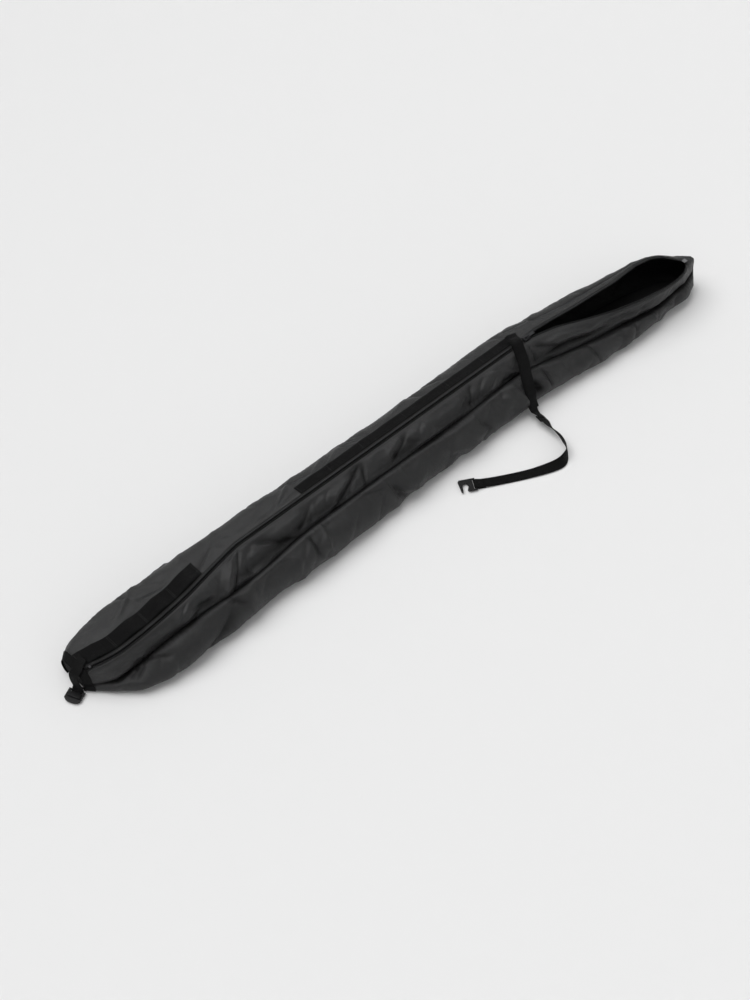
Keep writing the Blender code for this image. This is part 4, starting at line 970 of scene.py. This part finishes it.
strap = {
    "width": 0.025, "thick": 0.0015, "loop": 0.0030,
    "start": ((0.400, 0.056, 0.1102), (0.396, 0.044, 0.1112), (0.391, 0.032, 0.1182), (0.386, 0.019, 0.1182)),
    # x, distance down the near side from the zip, height over the cloth
    "drape": ((0.380, 0.022, 0.0050), (0.374, 0.038, 0.0034), (0.366, 0.056, 0.0034), (0.358, 0.074, 0.0040),
              (0.350, 0.094, 0.0030), (0.345, 0.112, 0.0030), (0.342, 0.128, 0.0034)),
    "land": ((0.3408, -0.0920, 0.0180), (0.3404, -0.1030, 0.0150)),
    "heading": (-110.0, -97.0),
    "weave": ((-0.0105, 0.0024), (-0.0070, 0.0024), (-0.0056, 0.0022), (-0.0024, -0.0022), (0.0, -0.0025),
              (0.0024, -0.0022), (0.0056, 0.0022), (0.0070, 0.0024), (0.0105, 0.0022)),
    "lower": ((0.3355, -0.1440, 0.0130), (0.3345, -0.1610, 0.0130), (0.3310, -0.1860, 0.0135),
              (0.3190, -0.2160, 0.0140), (0.2980, -0.2330, 0.0115), (0.2700, -0.2340, 0.0070),
              (0.2090, -0.2080, 0.0019), (0.1430, -0.1740, 0.0019), (0.1080, -0.1545, 0.0040)),
    "tilt": ((0.0, 0.63), (0.18, 0.95), (0.36, 1.4), (0.50, 1.35), (0.64, 0.55), (0.76, 0.0), (1.0, 0.0)),
}
adjuster = {"at": (0.3390, -0.1200, 0.0125), "tilt": math.radians(36), "angle": math.radians(-97)}
hook = {"bar": (0.0950, -0.1470, 0.0047), "angle": math.radians(150.5)}


def turned(points, angle, middle, roll=0.0):
    # rolled about their own X, turned about +Z, moved to the middle
    points = np.array(points, float)
    x, y, z = points[:, 0], points[:, 1], points[:, 2]
    y, z = math.cos(roll) * y - math.sin(roll) * z, math.sin(roll) * y + math.cos(roll) * z
    c, s = math.cos(angle), math.sin(angle)
    return np.stack([c * x - s * y, s * x + c * y, z], axis=1) + np.array(middle)


def barLoop(fitting, radius):
    # a bar's middle, the level way its band comes from, and the half turn of the band round it
    bar, run = np.array(fitting["bar"]), np.array((math.cos(fitting["angle"]), math.sin(fitting["angle"]), 0))
    turn = np.radians(np.arange(0, 181, 12))[:, None]
    return bar, run, bar + radius * (np.sin(turn) * run + np.cos(turn) * np.array((0, 0, 1.0)))


def drapePoint(x, distance, lift):
    # point over the near side at a distance down it from the zip
    row = np.array([x])
    curve = np.concatenate([nearTop(row, 200), sideWall(row, -1, 120)[:, 1:]], axis=1)
    a, b = alongRows(curve, np.array([[distance - 0.001, distance + 0.001]]))[0]
    step = (b - a) / np.linalg.norm(b - a)
    middle = (a + b) / 2
    return x, middle[0] + lift * step[1], middle[1] - lift * step[0]


def strapLine(values):
    # centre line and width direction of the whole strap, then of its second layer
    over = [drapePoint(*row) for row in values["drape"]]
    upper = catmull(list(values["start"]) + over + list(values["land"]), 12)
    flatWeave = [(s, 0.0, z) for s, z in values["weave"]]
    weave = turned(flatWeave, adjuster["angle"], adjuster["at"], -adjuster["tilt"])
    weave = catmull(weave, 6)
    lower = catmull([weave[-1]] + [np.array(point) for point in values["lower"]], 16)[1:]
    bar, run, loop = barLoop(hook, values["loop"])
    back = np.array([bar - run * 0.008 + np.array((0, 0, 0.0012 - bar[2])),
                     bar - run * 0.022 + np.array((0, 0, 0.0009 - bar[2]))])
    path = np.concatenate([upper, weave, lower, loop, back])
    tiltAt = [row[0] for row in values["tilt"]]
    tilt = np.concatenate([
        np.interp(np.linspace(0, 1, len(upper)), (0, 0.72, 1), (0, 0, adjuster["tilt"])),
        np.full(len(weave), adjuster["tilt"]),
        np.interp(np.linspace(0, 1, len(lower)), tiltAt, [row[1] for row in values["tilt"]]),
        np.zeros(len(loop) + len(back))])
    flat = np.gradient(path, axis=0)
    heading = np.radians(np.linspace(*values["heading"], len(upper)))
    flat[:len(upper)] = np.stack([np.cos(heading), np.sin(heading), 0 * heading], 1)
    flat[len(upper):len(upper) + len(weave)] = (math.cos(adjuster["angle"]), math.sin(adjuster["angle"]), 0)
    flat[len(path) - len(loop) - len(back):] = run
    flat[:, 2] = 0
    flat /= np.linalg.norm(flat, axis=1, keepdims=True)
    side = np.stack([flat[:, 1], -flat[:, 0], np.zeros(len(flat))], 1)
    across = side * np.cos(tilt)[:, None] + np.array((0, 0, 1.0)) * np.sin(tilt)[:, None]
    along = np.gradient(upper, axis=0)
    along /= np.linalg.norm(along, axis=1, keepdims=True)
    rise = np.cross(along, across[:len(upper)])
    rise *= np.sign(rise[:1, 2:])
    second = upper + np.array((0.004, 0, 0)) + rise * (values["thick"] + 0.0006)
    cut = len(upper) - 14
    return path, across, second[:cut], across[:cut], len(path) - len(back) - len(loop) // 2


strapPath, strapAcross, secondPath, secondAcross, barIndex = strapLine(strap)
strapPiece = looseBand("strap_webbing_band", "strap_webbing", strapPath, strapAcross, strap["width"],
                       strap["thick"])
secondPiece = looseBand("strap_second_layer", "strap_return_webbing", secondPath, secondAcross, strap["width"],
                        strap["thick"])
hookPiece = keepNode("strap_hook", blackPlastic, 0.0007, 3)
adjusterPiece = keepNode("strap_adjuster", blackPlastic, 0.0006, 3)

# tail buckle and its web

buckle = {"bar": (-0.8935, 0.0230, 0.0046), "angle": math.radians(205), "loop": 0.0030, "width": 0.024,
          "thick": 0.0015, "neck": ((-0.856, 0.024, 0.0105), (-0.868, 0.016, 0.0085), (-0.878, 0.009, 0.0085))}


def neckLine(values):
    # centre line of the tail web, from the bag over its end and round the buckle's bar, and its width way
    lead = []
    for x, start, lift in values["neck"]:
        y, z = alongRows(farTop(np.array([x]), 200), np.array([[start]]))[0, 0]
        lead.append((x, y, z + lift))
    y, z = lead[-1][1], lead[-1][2]
    bar, run, loop = barLoop(values, values["loop"])
    lead = catmull(lead + [(-0.8885, y - 0.001, z - 0.009), (-0.8905, y - 0.005, z - 0.023),
                           tuple(loop[0] - run * 0.0045 + np.array((0, 0, 0.0070))),
                           tuple(loop[0] - run * 0.0025 + np.array((0, 0, 0.0012)))], 10)
    back = [bar - run * 0.004 + np.array((0, 0, -0.0020)), bar - run * 0.0065 + np.array((0, 0, -0.0018))]
    path = np.concatenate([lead, loop, back])
    spin = np.linspace(0, 1, len(lead))[:, None]
    across = np.concatenate([np.concatenate([0.42 * spin, -1 + 0.09 * spin, 0 * spin], axis=1),
                             np.tile((0.42, -0.91, 0.0), (len(loop) + len(back), 1))])
    return path, across


neckPath, neckAcross = neckLine(buckle)
looseBand("tail_web_loop_band", "tail_web_loop", neckPath, neckAcross, buckle["width"], buckle["thick"])
keepNode("tail_buckle", blackPlastic, 0.0007, 3)


lever = {"low": (0.0052, -0.0150, 0.0012), "high": (0.0185, 0.0150, 0.0029), "lean": 0.22, "foot": 0.0050,
         "bevel": 0.0006}


def makeLever(values):
    # box between two corners that leans up toward its free end, its edges rounded by a bevel
    (x0, y0, z0), (x1, y1, z1) = values["low"], values["high"]
    corners = np.array([(x, y, z) for z in (z0, z1) for y in (y0, y1) for x in (x0, x1)])
    corners[:, 2] += values["lean"] * (corners[:, 0] - values["foot"])
    faces = np.array([(0, 2, 3, 1), (4, 5, 7, 6), (0, 1, 5, 4), (2, 6, 7, 3), (0, 4, 6, 2), (1, 3, 7, 5)])
    piece = addPiece("tail_buckle_lever", turned(corners, buckle["angle"], buckle["bar"]), faces, blackPlastic,
                     body="buckle")
    soft = piece.modifiers.new("soft edges", "BEVEL")
    soft.width, soft.segments = values["bevel"], 3


makeLever(lever)
print("buckle web made")

# stitching

sewing = {"pitch": 0.0042, "length": 0.0032, "radius": 0.00032, "rise": 0.00018, "jitter": 0.00018,
          "lift": 0.0001, "fineRadius": 0.9, "tackPitch": 0.0011, "tackReach": 0.0011,
          "zipInset": 0.0022, "zipRow": (-0.862, 0.893), "seamRow": (-0.84, 0.915), "nearInset": 0.0085,
          "farInset": 0.0070, "bandInset": 0.0028, "bandEnd": 0.004, "bandTack": 0.002, "ladderTack": 0.0015}


def addStitches(name, rows, fine=1.0):
    # rows of (ends, ups); every stitch is a short thread of five rings that dives in at both ends
    ends, ups = (np.concatenate([row[k] for row in rows]) for k in range(2))
    a, b = ends[:, 0], ends[:, 1]
    along = b - a
    along /= np.maximum(np.linalg.norm(along, axis=1, keepdims=True), 1e-9)
    up = ups - (ups * along).sum(axis=1, keepdims=True) * along
    up /= np.maximum(np.linalg.norm(up, axis=1, keepdims=True), 1e-9)
    side = np.cross(along, up)
    t = np.array((0.0, 0.18, 0.5, 0.82, 1.0))
    size = np.array((0.35, 0.95, 1.0, 0.95, 0.35)) * sewing["radius"] * fine
    lift = np.array((-0.9, 0.35, 1.0, 0.35, -0.9)) * sewing["rise"]
    turn = np.linspace(0, 2 * math.pi, 5)[:-1] + math.pi / 4
    core = a[:, None] + (b - a)[:, None] * t[None, :, None] + up[:, None] * lift[None, :, None]
    wall = (np.cos(turn)[None, None, :, None] * side[:, None, None] + np.sin(turn)[None, None, :, None]
            * up[:, None, None]) * size[None, :, None, None]
    points = (core[:, :, None] + wall).reshape(-1, 3)
    closing = [[3 + 4 * k, 7 + 4 * k, 4 + 4 * k, 4 * k] for k in range(4)]
    one = np.concatenate([gridFaces(5, 4), closing, [[3, 2, 1, 0]], [[16, 17, 18, 19]]])
    p = points[:20][one[0]]
    if np.dot(np.cross(p[1] - p[0], p[2] - p[0]), p.mean(axis=0) - core[0].mean(axis=0)) < 0:
        one = np.concatenate([one[:-2, ::-1], one[-2:]])
    faces = (one[None] + 20 * np.arange(len(a))[:, None, None]).reshape(-1, 4)
    addPiece(name, points, faces, thread)


def runningStitch(panel, first, last, at, lift=sewing["lift"]):
    # a straight row of stitches along x at distance at from the panel's upper edge
    count = int((last - first) / sewing["pitch"])
    x = first + sewing["pitch"] * np.arange(count) + rng.normal(0, sewing["jitter"], count)
    v = (at(x) if callable(at) else np.full(count, at)) + rng.normal(0, sewing["jitter"] * 0.5, count)
    half = sewing["length"] / 2
    ends = np.stack([onPanel(panel, x - half, v, lift), onPanel(panel, x + half, v, lift)], axis=1)
    return ends, onPanel(panel, x, v, 0.001) - onPanel(panel, x, v, 0.0)


def tackRow(panel, x, start, width, lift):
    # a dense zigzag across webbing at x
    pitch, reach = sewing["tackPitch"], sewing["tackReach"]
    count = int(width / pitch)
    v = start + pitch * (np.arange(count) + 0.5)
    ends = np.stack([onPanel(panel, x - reach, v - pitch * 0.3, lift),
                     onPanel(panel, x + reach, v + pitch * 0.3, lift)], axis=1)
    return ends, onPanel(panel, x, v, lift + 0.001) - onPanel(panel, x, v, lift)


def seamAt(panel, inset):
    # distance down the panel of a row that keeps its inset from the lower seam
    return lambda x: np.interp(x, panel["xs"], panel["total"]) - inset


addStitches("topstitch_zip", [runningStitch(panel, *sewing["zipRow"], cloth["tapeCover"] + sewing["zipInset"])
                              for panel in (near, far)])
addStitches("topstitch_seams", [runningStitch(panel, *sewing["seamRow"], at) for panel, at in (
    (near, seamAt(near, sewing["nearInset"])), (far, seamAt(far, sewing["farInset"])),
    (nearSide, sewing["nearInset"]), (farSide, sewing["farInset"]))])

bandTop, bandEnd = clothGap + middleBand["thick"], sewing["bandEnd"]
firstTack, lastTack = middleBand["first"] + bandEnd, middleBand["last"] - bandEnd
bandRows = [runningStitch(far, firstTack, lastTack, middleBand["start"] + inset, bandTop)
            for inset in (sewing["bandInset"], middleBand["width"] - sewing["bandInset"])]
bandRows += [tackRow(far, x, middleBand["start"] + sewing["bandTack"],
                     middleBand["width"] - 2 * sewing["bandTack"], bandTop)
             for x in middleBand["tacks"] + (firstTack, lastTack)]
addStitches("stitch_mid_webbing", bandRows, sewing["fineRadius"])

ladderTop = 2 * clothGap + 2 * ladder["thick"]
ladderRows = [tackRow(far, x + shift, ladder["start"] + sewing["ladderTack"],
                      ladder["width"] - 2 * sewing["ladderTack"], ladderTop)
              for x in ladder["tacks"] for shift in ((0.0,) if x < -0.86 else (-0.0016, 0.0016))]
addStitches("stitch_ladder_webbing", ladderRows, sewing["fineRadius"])
print("stitching made")

# floor and light


def makeStudio(values):
    # pale floor that curves up into a round wall
    floorMaterial, _, shader = surface("paleFloor", (values["floorTone"],) * 3, 0.95)
    shader.inputs["Specular IOR Level"].default_value = 0.1
    bend, curve, far = np.linspace(0, math.pi / 2, 9), values["wallBend"], values["wallRadius"]
    radius = np.concatenate([values["floorRings"], far - curve + curve * np.sin(bend), [far]])
    height = np.concatenate([[0, 0, 0], curve - curve * np.cos(bend), [values["wallHeight"]]])
    height -= values["floorDrop"]
    steps = values["wallSteps"]
    turn = np.linspace(0, 2 * math.pi, steps + 1)[:-1]
    ring = np.stack([radius[None] * np.cos(turn)[:, None], radius[None] * np.sin(turn)[:, None],
                     np.broadcast_to(height, (steps, len(radius)))], axis=2)
    faces = gridFaces(steps, len(radius), closedRows=True, flip=True)
    mesh = bpy.data.meshes.new("pale_floor")
    mesh.from_pydata(ring.reshape(-1, 3).tolist(), [], faces.tolist())
    mesh.shade_smooth()
    mesh.materials.append(floorMaterial)
    floor = bpy.data.objects.new("pale_floor", mesh)
    bpy.context.scene.collection.objects.link(floor)
    world = bpy.data.worlds.new("softWorld")
    bpy.context.scene.world = world
    world.use_nodes = True
    sky = world.node_tree.nodes["Background"]
    sky.inputs["Color"].default_value = (1, 1, 1, 1)
    sky.inputs["Strength"].default_value = values["worldTone"]
    bpy.context.scene.view_settings.view_transform = "Standard"
    data = bpy.data.lights.new("softKey", "SUN")
    data.energy, data.angle = values["sunTone"], math.radians(values["sunAngle"])
    key = bpy.data.objects.new("softKey", data)
    way = np.array(values["sunWay"]) / np.linalg.norm(values["sunWay"])
    key.rotation_euler = (math.acos(-way[2]), 0, math.atan2(way[1], way[0]) - math.pi / 2)
    key.location = (-way * 4).tolist()
    bpy.context.scene.collection.objects.link(key)


makeStudio(studio)

print("done")
